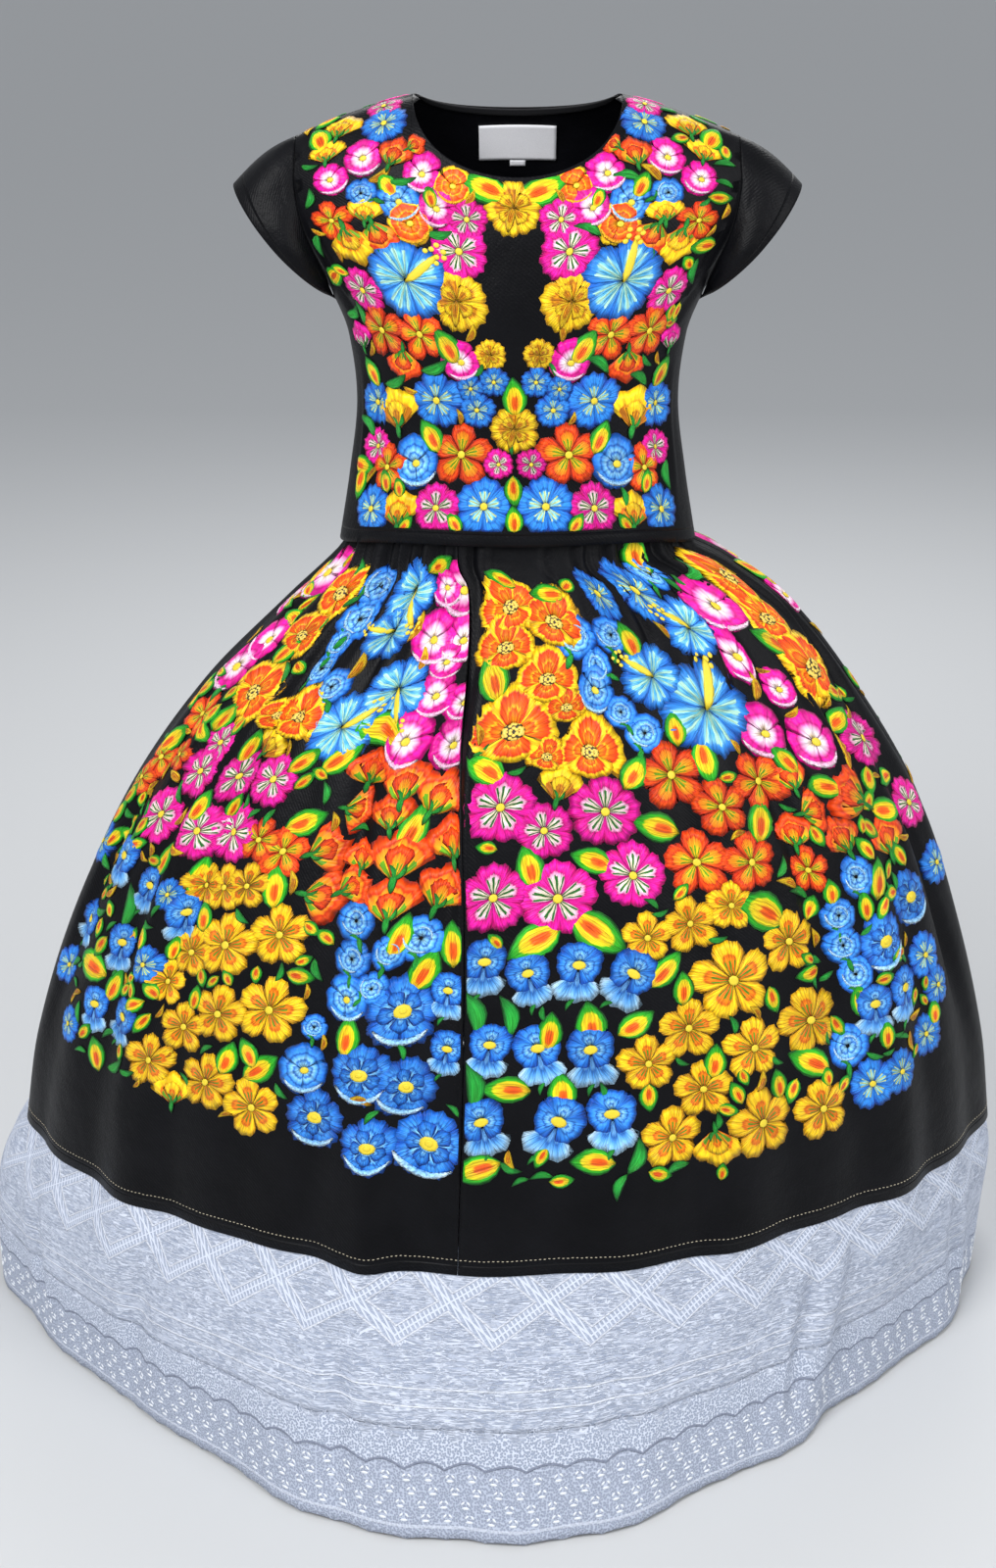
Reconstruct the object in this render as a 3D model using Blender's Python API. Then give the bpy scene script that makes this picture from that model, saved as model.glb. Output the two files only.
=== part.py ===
# A short embroidered blouse over a long gathered skirt with a lace flounce, as worn.
# Metres, +Z up. The origin is between the shoulders, level with the neck points, and
# the front faces -Y, so +X is the wearer's left.

import math

import bmesh
import bpy

# Cloth
CLOTH = 0.0015  # wall of the black cotton satin
LACE = 0.0014  # wall of the lace with its backing
TRIM = 0.0010  # wall of the facing and the labels
GAP = 0.0003  # between two pieces that are sewn together
WELD = 0.00003  # joins the two ends of a tube

# Blouse, seen from the front
NECK_HALF_WIDTH = 0.109  # neck point to the middle
SHOULDER_HALF_WIDTH = 0.232  # top of the armhole to the middle
FRONT_NECK_ALONG = 0.131  # down the front cloth from the shoulder line to the neck edge
BACK_NECK_ALONG = 0.071  # the same down the back cloth
UNDERARM_ALONG = 0.275  # down to the point where side seam and sleeve meet
BLOUSE_ALONG = 0.515  # down to the blouse hem

# Each row is a ring round the blouse, named by its distance down the front cloth.
# drop is how far its sides hang below its middle, and bend how late they start to.
BODY_COLUMNS = ("along", "height", "half_width", "front", "back", "drop", "bend")
BODY_RINGS = (
    (0.000, 0.0118, 0.262, 0.0000, 0.0000, 0.068, 2.0),
    (0.030, 0.0075, 0.262, 0.0300, 0.0290, 0.066, 2.0),
    (0.070, -0.0180, 0.262, 0.0620, 0.0580, 0.058, 2.0),
    (0.115, -0.0580, 0.260, 0.0840, 0.0780, 0.042, 2.2),
    (0.180, -0.1180, 0.244, 0.1050, 0.0950, 0.018, 2.5),
    (0.235, -0.1720, 0.215, 0.1160, 0.1030, 0.006, 3.0),
    (0.275, -0.2120, 0.196, 0.1200, 0.1060, 0.000, 3.0),
    (0.310, -0.2470, 0.184, 0.1180, 0.1050, 0.000, 3.0),
    (0.380, -0.3170, 0.1775, 0.1120, 0.1030, 0.002, 3.5),
    (0.450, -0.3870, 0.188, 0.1190, 0.1120, 0.012, 4.0),
    (0.515, -0.4510, 0.202, 0.1310, 0.1270, 0.026, 4.0),
)
NECK_CURVE = 0.70  # under 1 squares the neck's corners
NECK_STEPS = 6  # columns from the middle to the neck point
SHOULDER_STEPS = 3
ARMHOLE_STEPS = 6
BLOUSE_ROWS = 12
ARMHOLE_SPREAD = 1.5  # sets the columns closer together near the shoulder
ROW_SPREAD = 1.5  # sets the rows closer together near the shoulder
RIDGE_GAP = 0.0005  # from a panel's edge to a seam that runs along a ridge
UNDERARM_DEPTH = 0.11  # from the middle of the body to its front, at the side seams

# Sleeves
SLEEVE_TIP = (0.301, 0.0, -0.090)  # top of the sleeve hem
SLEEVE_LOW = (0.200, 0.0, -0.207)  # bottom of the sleeve hem
SLEEVE_HEM_DEPTH = 0.056  # half of the sleeve hem from front to back
SLEEVE_HEM_BOW = 0.006  # how far the hem bows out between its ends
SLEEVE_ROUND = 0.007  # how far the cap rounds out between armhole and hem
SLEEVE_ROWS = 5
ARMHOLE_CLEAR = 0.0007  # keeps the sleeve's wall off the body's where they meet at an angle

# Inside the back neck
TRIM_CLEAR = 0.0008  # from the back's inner face to what is sewn on it
FACING_DEPTH = 0.009
FACING_REACH = 0.97  # share of the neck's width that it covers
FACING_COLUMNS = 20
LABEL_WIDTH = 0.084
LABEL_HEIGHT = 0.042
LABEL_ALONG = 0.092  # from the shoulder line down the back cloth to the label's top
LABEL_COLUMNS = 8
LABEL_ROWS = 3
TAB_WIDTH = 0.017
TAB_HEIGHT = 0.007
TAB_COLUMNS = 2

# Waistband
BAND_DEPTH = 0.038
BAND_COLUMNS = 48

# Each row is a ring round the skirt. shift moves it sideways, and diamond pulls it in
# between its front and its sides.
SKIRT_COLUMNS = (
    "along", "height", "half_width", "front", "back", "shift", "drop", "diamond",
)
SKIRT_RINGS = (
    (0.000, -0.3760, 0.1660, 0.100, 0.098, 0.000, 0.000, 0.00),
    (0.075, -0.4500, 0.1830, 0.120, 0.116, 0.001, 0.000, 0.00),
    (0.103, -0.4780, 0.1923, 0.128, 0.125, 0.001, 0.000, 0.00),
    (0.125, -0.4970, 0.2160, 0.138, 0.135, 0.014, 0.000, 0.00),
    (0.180, -0.5530, 0.2850, 0.165, 0.163, 0.023, 0.001, 0.00),
    (0.300, -0.6620, 0.3840, 0.220, 0.216, 0.012, 0.003, 0.00),
    (0.440, -0.7890, 0.4700, 0.272, 0.266, 0.005, 0.006, 0.01),
    (0.600, -0.9340, 0.5350, 0.322, 0.315, -0.005, 0.011, 0.03),
    (0.770, -1.0880, 0.5840, 0.366, 0.358, -0.011, 0.016, 0.05),
    (0.895, -1.2100, 0.6060, 0.393, 0.386, -0.014, 0.018, 0.06),
)
SKIRT_ALONG = 0.895
SKIRT_ROWS = 14
SKIRT_ROW_SPREAD = 1.4  # sets the rows closer together near the waist
SEAM_MARGIN = 0.00035  # from a skirt panel's edge to its seam
COLUMN_ANGLE = 3.4  # degrees from one column of the skirt to the next

# Each row is a fold: angles are degrees from the front middle, towards +X, widths are
# to one side of its crest, and heights are how far the crest stands out, in metres.
FOLD_COLUMNS = (
    "waist_angle", "hem_angle", "waist_width", "hem_width", "waist_height", "hem_height",
)
SKIRT_FOLDS = (
    (-79.0, -82.0, 7.0, 9.0, 0.0050, 0.010),
    (-65.0, -68.0, 6.5, 9.0, 0.0060, 0.006),
    (-53.0, -51.0, 6.0, 9.0, 0.0055, 0.014),
    (-42.0, -37.0, 6.0, 8.0, 0.0065, 0.004),
    (-32.0, -27.0, 5.5, 8.0, 0.0060, 0.004),
    (-22.0, -15.5, 5.5, 7.0, 0.0065, 0.016),
    (-12.0, -2.0, 5.5, 8.0, 0.0050, 0.004),
    (22.0, 13.0, 5.5, 8.0, 0.0060, 0.006),
    (33.0, 27.0, 6.0, 9.0, 0.0065, 0.010),
    (45.0, 41.0, 6.0, 8.0, 0.0060, 0.004),
    (56.0, 54.0, 6.0, 9.0, 0.0065, 0.014),
    (67.0, 68.0, 6.0, 8.0, 0.0050, 0.005),
    (80.0, 83.0, 7.0, 9.0, 0.0060, 0.012),
    (94.0, 96.0, 6.5, 9.0, 0.0055, 0.008),
    (106.0, 109.0, 6.0, 8.0, 0.0060, 0.012),
    (117.0, 121.0, 6.0, 8.0, 0.0065, 0.005),
    (129.0, 133.0, 6.0, 9.0, 0.0055, 0.013),
    (140.0, 146.0, 6.0, 8.0, 0.0060, 0.006),
    (152.0, 158.0, 6.0, 9.0, 0.0060, 0.010),
    (164.0, 170.0, 6.0, 8.0, 0.0065, 0.004),
    (177.0, 181.0, 6.5, 9.0, 0.0055, 0.013),
    (190.0, 193.0, 6.0, 8.0, 0.0060, 0.006),
    (202.0, 206.0, 6.0, 9.0, 0.0065, 0.011),
    (213.0, 217.0, 6.0, 8.0, 0.0055, 0.004),
    (225.0, 229.0, 6.0, 9.0, 0.0060, 0.014),
    (237.0, 240.0, 6.0, 8.0, 0.0060, 0.005),
    (249.0, 252.0, 6.0, 9.0, 0.0055, 0.012),
    (261.0, 264.0, 6.0, 8.0, 0.0060, 0.006),
)

# Seams of the skirt, as degrees from the front middle at the waist and at the hem
SEAM_COLUMNS = ("waist_angle", "hem_angle")
SKIRT_SEAMS = (
    (-90.0, -90.0),
    (-25.0, -5.0),
    (90.0, 90.0),
    (180.0, 180.0),
    (270.0, 270.0),
)
SKIRT_PANELS = (
    "skirt_front_left", "skirt_front_right", "skirt_back_right", "skirt_back_left",
)

# The flounce is tucked in behind the skirt's hem, and these rings start where it comes out.
TUCK = 0.032  # how much of the flounce lies behind the hem
TUCK_CLEAR = 0.0029  # from the skirt's outer face to the flounce's
FLOUNCE_RINGS = (
    (0.032, -1.2100, 0.6034, 0.3904, 0.3834, -0.014, 0.018, 0.06),
    (0.090, -1.2600, 0.6280, 0.4250, 0.4100, -0.026, 0.016, 0.07),
    (0.170, -1.3340, 0.6360, 0.4760, 0.4450, -0.034, 0.010, 0.09),
    (0.285, -1.4500, 0.6340, 0.5470, 0.4900, -0.036, 0.000, 0.11),
)
EDGING_ALONG = 0.186  # where the flounce's lace ends and the edging begins
LACE_ALONG = 0.285
FLOUNCE_ROWS = 5
EDGING_ROWS = 3
LACE_FOLDS = (
    (-82.0, -84.0, 9.0, 12.0, 0.000, 0.014),
    (-51.0, -52.0, 9.0, 12.0, 0.000, 0.004),
    (-15.5, -17.0, 8.0, 10.0, 0.000, 0.007),
    (12.0, 12.0, 9.0, 14.0, 0.000, 0.008),
    (40.0, 38.0, 6.0, 9.0, 0.000, 0.018),
    (66.0, 68.0, 9.0, 12.0, 0.000, 0.010),
    (96.0, 97.0, 9.0, 12.0, 0.000, 0.014),
    (129.0, 131.0, 9.0, 12.0, 0.000, 0.012),
    (160.0, 161.0, 9.0, 12.0, 0.000, 0.015),
    (193.0, 191.0, 9.0, 12.0, 0.000, 0.010),
    (224.0, 226.0, 9.0, 12.0, 0.000, 0.015),
    (254.0, 255.0, 8.0, 11.0, 0.000, 0.012),
)

FRONT = -1
BACK = 1
FULL_TURN = 360.0
HALF_TURN = 180.0

MATERIALS = {
    "black satin cotton": ((0.012, 0.012, 0.016), 0.55),
    "black facing": ((0.010, 0.010, 0.013), 0.70),
    "white label": ((0.80, 0.80, 0.82), 0.60),
    "white lace": ((0.72, 0.76, 0.86), 0.75),
    "white edging": ((0.76, 0.79, 0.88), 0.75),
}


def read_smoothly(names, rows, name, along):
    # Reads one column of a table between its rows, along a smooth curve.
    at = names.index(name)
    last = len(rows) - 2
    index = 0
    while index < last and rows[index + 1][0] <= along:
        index += 1
    first = rows[index]
    second = rows[index + 1]
    before = rows[max(index - 1, 0)]
    after = rows[min(index + 2, len(rows) - 1)]
    span = second[0] - first[0]
    share = (along - first[0]) / span
    rise_in = (second[at] - before[at]) / (second[0] - before[0]) * span
    rise_out = (after[at] - first[at]) / (after[0] - first[0]) * span
    square = share * share
    cube = square * share
    return (
        first[at] * (2 * cube - 3 * square + 1)
        + rise_in * (cube - 2 * square + share)
        + second[at] * (3 * square - 2 * cube)
        + rise_out * (cube - square)
    )


def body_point(across, along, side):
    # A point of the blouse: across runs from -1 to 1 between the side seams.
    ring = {name: read_smoothly(BODY_COLUMNS, BODY_RINGS, name, along) for name in BODY_COLUMNS}
    turn = math.radians(90 * across)
    depth = ring["front"] if side == FRONT else ring["back"]
    fall = ring["drop"] * abs(math.sin(turn)) ** ring["bend"]
    return (
        ring["half_width"] * math.sin(turn),
        side * depth * math.cos(turn),
        ring["height"] - fall,
    )


def across_at_shoulder(half_width):
    # Turns a distance from the middle, on the shoulder line, into a place across.
    widest = read_smoothly(BODY_COLUMNS, BODY_RINGS, "half_width", 0)
    return math.degrees(math.asin(half_width / widest)) / 90


def armhole_place(share):
    # Where the armhole runs: share goes from 0 at the shoulder to 1 at the underarm.
    turn = math.radians(90 * share**ARMHOLE_SPREAD)
    shoulder = across_at_shoulder(SHOULDER_HALF_WIDTH)
    across = 1 - (1 - shoulder) * math.cos(turn)
    along = UNDERARM_ALONG * math.sin(turn) ** (2 / 3)
    return across, along


def neck_place(turn, side):
    # Where the neck edge runs: turn goes from 0 at the middle to 90 at the neck point.
    deepest = FRONT_NECK_ALONG if side == FRONT else BACK_NECK_ALONG
    across = across_at_shoulder(NECK_HALF_WIDTH) * math.sin(math.radians(turn))
    along = deepest * max(math.cos(math.radians(turn)), 0) ** NECK_CURVE
    return across, along


def body_columns(side):
    # One half's columns from the middle to the side seam, as (across, where it starts).
    columns = [neck_place(90 * step / NECK_STEPS, side) for step in range(NECK_STEPS)]
    neck = across_at_shoulder(NECK_HALF_WIDTH)
    shoulder = across_at_shoulder(SHOULDER_HALF_WIDTH)
    for step in range(SHOULDER_STEPS):
        columns.append((neck + (shoulder - neck) * step / SHOULDER_STEPS, 0.0))
    for step in range(ARMHOLE_STEPS + 1):
        columns.append(armhole_place(step / ARMHOLE_STEPS))
    return columns


def blouse_panel_point(side):
    half = body_columns(side)
    columns = [(side * across, start) for across, start in reversed(half[1:])]
    columns += [(-side * across, start) for across, start in half]
    side_gap = RIDGE_GAP / (math.pi / 2 * UNDERARM_DEPTH)

    def point(column, row):
        across, start = columns[column]
        across = max(min(across, 1 - side_gap), side_gap - 1)
        start = max(start, RIDGE_GAP)
        along = start + (BLOUSE_ALONG - start) * (row / BLOUSE_ROWS) ** ROW_SPREAD
        return body_point(across, along, side)

    return point, len(columns) - 1


def armhole_point(turn):
    # Once round the armhole: 0 at the shoulder, forwards and down to 180 at the underarm.
    side = FRONT if turn <= HALF_TURN else BACK
    across, along = armhole_place(1 - abs(turn - HALF_TURN) / HALF_TURN)
    return body_point(across, along, side)


def sleeve_hem_point(turn):
    angle = math.radians(turn)
    down = (1 - math.cos(angle)) / 2
    run = SLEEVE_LOW[0] - SLEEVE_TIP[0]
    fall = SLEEVE_LOW[2] - SLEEVE_TIP[2]
    length = math.hypot(run, fall)
    bow = SLEEVE_HEM_BOW * math.sin(angle) ** 2
    return (
        SLEEVE_TIP[0] + run * down - bow * fall / length,
        -SLEEVE_HEM_DEPTH * math.sin(angle),
        SLEEVE_TIP[2] + fall * down + bow * run / length,
    )


def sleeve_point(hand):
    # hand is -1 for the sleeve on the -X side and 1 for the other.
    around = 2 * ARMHOLE_STEPS

    def point(column, row):
        turn = FULL_TURN * (-hand * column % around) / around
        start = armhole_point(turn)
        end = sleeve_hem_point(turn)
        clear = ARMHOLE_CLEAR / math.dist(start, end)
        share = clear + (1 - clear) * row / SLEEVE_ROWS
        top = max(math.cos(math.radians(turn)), 0)
        bulge = SLEEVE_ROUND * math.sin(math.pi * share)
        x, y, z = (a + (b - a) * share for a, b in zip(start, end))
        y -= bulge * math.sin(math.radians(turn))
        z += bulge * top
        return hand * x, y, z

    return point, around


def fold_height(folds, angle, share):
    # How far the folds push the cloth out at this angle, share of the way down.
    total = 0.0
    for fold in folds:
        row = dict(zip(FOLD_COLUMNS, fold))
        crest = row["waist_angle"] + (row["hem_angle"] - row["waist_angle"]) * share
        width = row["waist_width"] + (row["hem_width"] - row["waist_width"]) * share
        height = row["waist_height"] + (row["hem_height"] - row["waist_height"]) * share
        away = abs((angle - crest + HALF_TURN) % FULL_TURN - HALF_TURN)
        if away < width:
            total += height * (1 + math.cos(math.pi * away / width)) / 2
    return total


def ring_point(rings, folds, angle, along, carried=0.0, share=None):
    # A point of the skirt or the flounce, angle degrees round from the front middle.
    if share is None:
        share = along / rings[-1][0]
    ring = {name: read_smoothly(SKIRT_COLUMNS, rings, name, along) for name in SKIRT_COLUMNS}
    turn = math.radians(angle)
    sine = math.sin(turn)
    cosine = math.cos(turn)
    depth = ring["front"] if cosine > 0 else ring["back"]
    inset = 1 - ring["diamond"] * math.sin(2 * turn) ** 2
    out = fold_height(folds, angle, share) + carried
    return (
        ring["shift"] + (ring["half_width"] * inset + out) * sine,
        -(depth * inset + out) * cosine,
        ring["height"] - ring["drop"] * sine * sine,
    )


def seam_gap_angle(along):
    # Half of the gap between two panels, as degrees at this distance down.
    radius = read_smoothly(SKIRT_COLUMNS, SKIRT_RINGS, "front", along)
    return math.degrees(SEAM_MARGIN / radius)


def seam_angle(seam, share):
    # The seams swing quickly below the waist, then run nearly straight down.
    row = dict(zip(SEAM_COLUMNS, SKIRT_SEAMS[seam]))
    return row["hem_angle"] + (row["waist_angle"] - row["hem_angle"]) * (1 - share) ** 3


def skirt_panel_columns(panel):
    waist_turn = SKIRT_SEAMS[panel + 1][0] - SKIRT_SEAMS[panel][0]
    hem_turn = SKIRT_SEAMS[panel + 1][1] - SKIRT_SEAMS[panel][1]
    return round((waist_turn + hem_turn) / 2 / COLUMN_ANGLE)


def skirt_panel_point(panel):
    columns = skirt_panel_columns(panel)

    def point(column, row):
        along = GAP + (SKIRT_ALONG - GAP) * (row / SKIRT_ROWS) ** SKIRT_ROW_SPREAD
        share = along / SKIRT_ALONG
        margin = seam_gap_angle(along)
        first = seam_angle(panel, share) + margin
        last = seam_angle(panel + 1, share) - margin
        angle = first + (last - first) * column / columns
        return ring_point(SKIRT_RINGS, SKIRT_FOLDS, angle, along)

    return point, columns


def lace_point(angle, along):
    # Behind the hem the lace follows the skirt, and below it the skirt's folds die out.
    if along <= TUCK:
        x, y, z = ring_point(SKIRT_RINGS, SKIRT_FOLDS, angle, SKIRT_ALONG - TUCK + along)
        turn = math.radians(angle)
        return x - TUCK_CLEAR * math.sin(turn), y + TUCK_CLEAR * math.cos(turn), z
    share = (along - TUCK) / (LACE_ALONG - TUCK)
    carried = fold_height(SKIRT_FOLDS, angle, 1) * (1 - share) ** 2
    return ring_point(FLOUNCE_RINGS, LACE_FOLDS, angle, along, carried, share)


def hem_angles(panels):
    # The angles of the columns of these skirt panels at the hem, one after another.
    angles = []
    for panel in panels:
        first = seam_angle(panel, 1)
        last = seam_angle(panel + 1, 1)
        columns = skirt_panel_columns(panel)
        angles += [first + (last - first) * column / columns for column in range(columns)]
    angles.append(last)
    margin = seam_gap_angle(SKIRT_ALONG)
    angles[0] += margin
    angles[-1] -= margin
    return angles


def lace_panel_point(panels, places):
    # The lace has its columns behind the skirt's, and its rows at these places down.
    angles = hem_angles(panels)

    def point(column, row):
        return lace_point(angles[column], places[row])

    return point, len(angles) - 1


def band_point(column, row):
    # The waistband stands on the skirt's top ring.
    angle = FULL_TURN * (column % BAND_COLUMNS) / BAND_COLUMNS
    x, y, z = ring_point(SKIRT_RINGS, (), angle, 0)
    return x, y, z + GAP + BAND_DEPTH * (1 - row)


def inside_back_point(half_width, start, row_depth, columns):
    # A piece that lies inside the back of the blouse, made from the back's own points.
    lift = CLOTH + TRIM_CLEAR

    def point(column, row):
        share = 1 - 2 * column / columns
        along = start(share) + row_depth * row
        widest = read_smoothly(BODY_COLUMNS, BODY_RINGS, "half_width", along)
        across = math.degrees(math.asin(half_width * share / widest)) / 90
        x, y, z = body_point(across, along, BACK)
        below = body_point(across, along + row_depth, BACK)
        above = body_point(across, along - row_depth, BACK)
        slope = math.atan2(below[1] - above[1], above[2] - below[2])
        return x, y - lift * math.cos(slope), z - lift * math.sin(slope)

    return point


def material(name):
    colour, roughness = MATERIALS[name]
    made = bpy.data.materials.get(name) or bpy.data.materials.new(name)
    made.use_nodes = True
    shader = made.node_tree.nodes["Principled BSDF"]
    shader.inputs["Base Color"].default_value = (*colour, 1)
    shader.inputs["Roughness"].default_value = roughness
    shader.inputs["Metallic"].default_value = 0.0
    return made


def sew(name, point, columns, rows, wall, cloth, closed=False):
    # Lays a flat grid on the piece's form and gives it a wall towards the inside.
    mesh = bmesh.new()
    bmesh.ops.create_grid(mesh, x_segments=columns, y_segments=rows, size=1)
    for vert in mesh.verts:
        column = round((vert.co.x + 1) / 2 * columns)
        row = round((1 - vert.co.y) / 2 * rows)
        vert.co = point(column, row)
    if closed:
        bmesh.ops.remove_doubles(mesh, verts=mesh.verts, dist=WELD)
    data = bpy.data.meshes.new(name)
    mesh.to_mesh(data)
    mesh.free()
    data.shade_smooth()
    data.materials.append(material(cloth))
    piece = bpy.data.objects.new(name, data)
    bpy.context.scene.collection.objects.link(piece)
    thickness = piece.modifiers.new("wall", "SOLIDIFY")
    thickness.thickness = wall
    thickness.offset = -1
    thickness.use_even_offset = True
    return piece


def facing_start(share):
    # The facing follows the back neck edge from one neck point to the other.
    edge = math.degrees(math.asin(min(abs(share), 1)))
    return max(neck_place(edge, BACK)[1], GAP) + GAP


def label_start(_):
    return LABEL_ALONG


def tab_start(_):
    return LABEL_ALONG + LABEL_HEIGHT + GAP


def make_blouse():
    for name, side in (("blouse_front", FRONT), ("blouse_back", BACK)):
        point, columns = blouse_panel_point(side)
        sew(name, point, columns, BLOUSE_ROWS, CLOTH, "black satin cotton")
    for name, hand in (("sleeve_left", -1), ("sleeve_right", 1)):
        point, columns = sleeve_point(hand)
        sew(name, point, columns, SLEEVE_ROWS, CLOTH, "black satin cotton", closed=True)


def make_neck_pieces():
    half_width = NECK_HALF_WIDTH * FACING_REACH
    facing = inside_back_point(half_width, facing_start, FACING_DEPTH, FACING_COLUMNS)
    sew("neck_facing", facing, FACING_COLUMNS, 1, TRIM, "black facing")
    row_depth = LABEL_HEIGHT / LABEL_ROWS
    label = inside_back_point(LABEL_WIDTH / 2, label_start, row_depth, LABEL_COLUMNS)
    sew("neck_label", label, LABEL_COLUMNS, LABEL_ROWS, TRIM, "white label")
    tab = inside_back_point(TAB_WIDTH / 2, tab_start, TAB_HEIGHT, TAB_COLUMNS)
    sew("size_tab", tab, TAB_COLUMNS, 1, TRIM, "white label")


def make_skirt():
    sew("skirt_waistband", band_point, BAND_COLUMNS, 1, CLOTH, "black satin cotton", closed=True)
    for panel, name in enumerate(SKIRT_PANELS):
        point, columns = skirt_panel_point(panel)
        sew(name, point, columns, SKIRT_ROWS, CLOTH, "black satin cotton")


def places_between(top, bottom, rows):
    return [top + (bottom - top) * row / rows for row in range(rows + 1)]


def make_lace():
    flounce = [0.0] + places_between(TUCK, EDGING_ALONG, FLOUNCE_ROWS - 1)
    edging = places_between(EDGING_ALONG + GAP, LACE_ALONG, EDGING_ROWS)
    for side, panels in (("front", (0, 1)), ("back", (2, 3))):
        point, columns = lace_panel_point(panels, flounce)
        sew("flounce_" + side, point, columns, FLOUNCE_ROWS, LACE, "white lace")
        point, columns = lace_panel_point(panels, edging)
        sew("edging_" + side, point, columns, EDGING_ROWS, LACE, "white edging")


def main():
    for old in list(bpy.data.objects):
        bpy.data.objects.remove(old, do_unlink=True)
    make_blouse()
    make_neck_pieces()
    make_skirt()
    make_lace()


main()
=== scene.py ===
# An embroidered blouse and a long gathered skirt with a lace flounce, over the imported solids.
import math
import random

import bmesh
import bpy
import numpy as np
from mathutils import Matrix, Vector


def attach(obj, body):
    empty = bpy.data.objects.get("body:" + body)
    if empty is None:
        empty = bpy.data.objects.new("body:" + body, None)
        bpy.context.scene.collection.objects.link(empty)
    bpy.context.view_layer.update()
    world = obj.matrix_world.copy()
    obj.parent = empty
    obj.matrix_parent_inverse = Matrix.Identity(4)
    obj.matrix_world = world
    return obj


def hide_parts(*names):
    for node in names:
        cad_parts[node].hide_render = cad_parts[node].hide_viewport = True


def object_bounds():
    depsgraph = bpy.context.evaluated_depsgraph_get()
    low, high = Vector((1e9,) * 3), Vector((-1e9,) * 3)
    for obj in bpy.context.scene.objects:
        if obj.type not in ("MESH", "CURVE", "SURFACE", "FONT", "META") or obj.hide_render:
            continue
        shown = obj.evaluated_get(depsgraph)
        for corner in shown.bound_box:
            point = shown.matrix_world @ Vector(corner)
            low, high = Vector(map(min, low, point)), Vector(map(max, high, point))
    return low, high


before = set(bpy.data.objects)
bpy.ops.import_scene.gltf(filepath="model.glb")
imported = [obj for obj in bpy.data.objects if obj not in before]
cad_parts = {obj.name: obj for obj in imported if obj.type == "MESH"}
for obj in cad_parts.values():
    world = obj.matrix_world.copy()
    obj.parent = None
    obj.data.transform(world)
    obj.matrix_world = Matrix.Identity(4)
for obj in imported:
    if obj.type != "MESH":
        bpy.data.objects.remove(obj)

cadBox = [list(corner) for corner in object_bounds()]  # the solids' own box, before anything is added
print("solids loaded:", len(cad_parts))

# Rings round the blouse, by the distance down its front cloth, as the solids have them.
bodyRings = {
    "columns": ("along", "height", "halfWidth", "front", "back", "drop", "bend"),
    "rows": (
        (0.000, 0.0118, 0.262, 0.0000, 0.0000, 0.068, 2.0),
        (0.030, 0.0075, 0.262, 0.0300, 0.0290, 0.066, 2.0),
        (0.070, -0.0180, 0.262, 0.0620, 0.0580, 0.058, 2.0),
        (0.115, -0.0580, 0.260, 0.0840, 0.0780, 0.042, 2.2),
        (0.180, -0.1180, 0.244, 0.1050, 0.0950, 0.018, 2.5),
        (0.235, -0.1720, 0.215, 0.1160, 0.1030, 0.006, 3.0),
        (0.275, -0.2120, 0.196, 0.1200, 0.1060, 0.000, 3.0),
        (0.310, -0.2470, 0.184, 0.1180, 0.1050, 0.000, 3.0),
        (0.380, -0.3170, 0.1775, 0.1120, 0.1030, 0.002, 3.5),
        (0.450, -0.3870, 0.188, 0.1190, 0.1120, 0.012, 4.0),
        (0.515, -0.4510, 0.202, 0.1310, 0.1270, 0.026, 4.0),
    ),
}
skirtColumns = ("along", "height", "halfWidth", "front", "back", "shift", "drop", "diamond")
skirtRings = {
    "columns": skirtColumns,
    "rows": (
        (0.000, -0.3760, 0.1660, 0.100, 0.098, 0.000, 0.000, 0.00),
        (0.075, -0.4500, 0.1830, 0.120, 0.116, 0.001, 0.000, 0.00),
        (0.103, -0.4780, 0.1923, 0.128, 0.125, 0.001, 0.000, 0.00),
        (0.125, -0.4970, 0.2160, 0.138, 0.135, 0.014, 0.000, 0.00),
        (0.180, -0.5530, 0.2850, 0.165, 0.163, 0.023, 0.001, 0.00),
        (0.300, -0.6620, 0.3840, 0.220, 0.216, 0.012, 0.003, 0.00),
        (0.440, -0.7890, 0.4700, 0.272, 0.266, 0.005, 0.006, 0.01),
        (0.600, -0.9340, 0.5350, 0.322, 0.315, -0.005, 0.011, 0.03),
        (0.770, -1.0880, 0.5840, 0.366, 0.358, -0.011, 0.016, 0.05),
        (0.895, -1.2100, 0.6060, 0.393, 0.386, -0.014, 0.018, 0.06),
    ),
}
flounceRings = {
    "columns": skirtColumns,
    "rows": (
        (0.032, -1.2100, 0.6034, 0.3904, 0.3834, -0.014, 0.018, 0.06),
        (0.090, -1.2600, 0.6280, 0.4250, 0.4100, -0.026, 0.016, 0.07),
        (0.170, -1.3340, 0.6360, 0.4760, 0.4450, -0.034, 0.010, 0.09),
        (0.285, -1.4500, 0.6340, 0.5470, 0.4900, -0.036, 0.000, 0.11),
    ),
}
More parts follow.
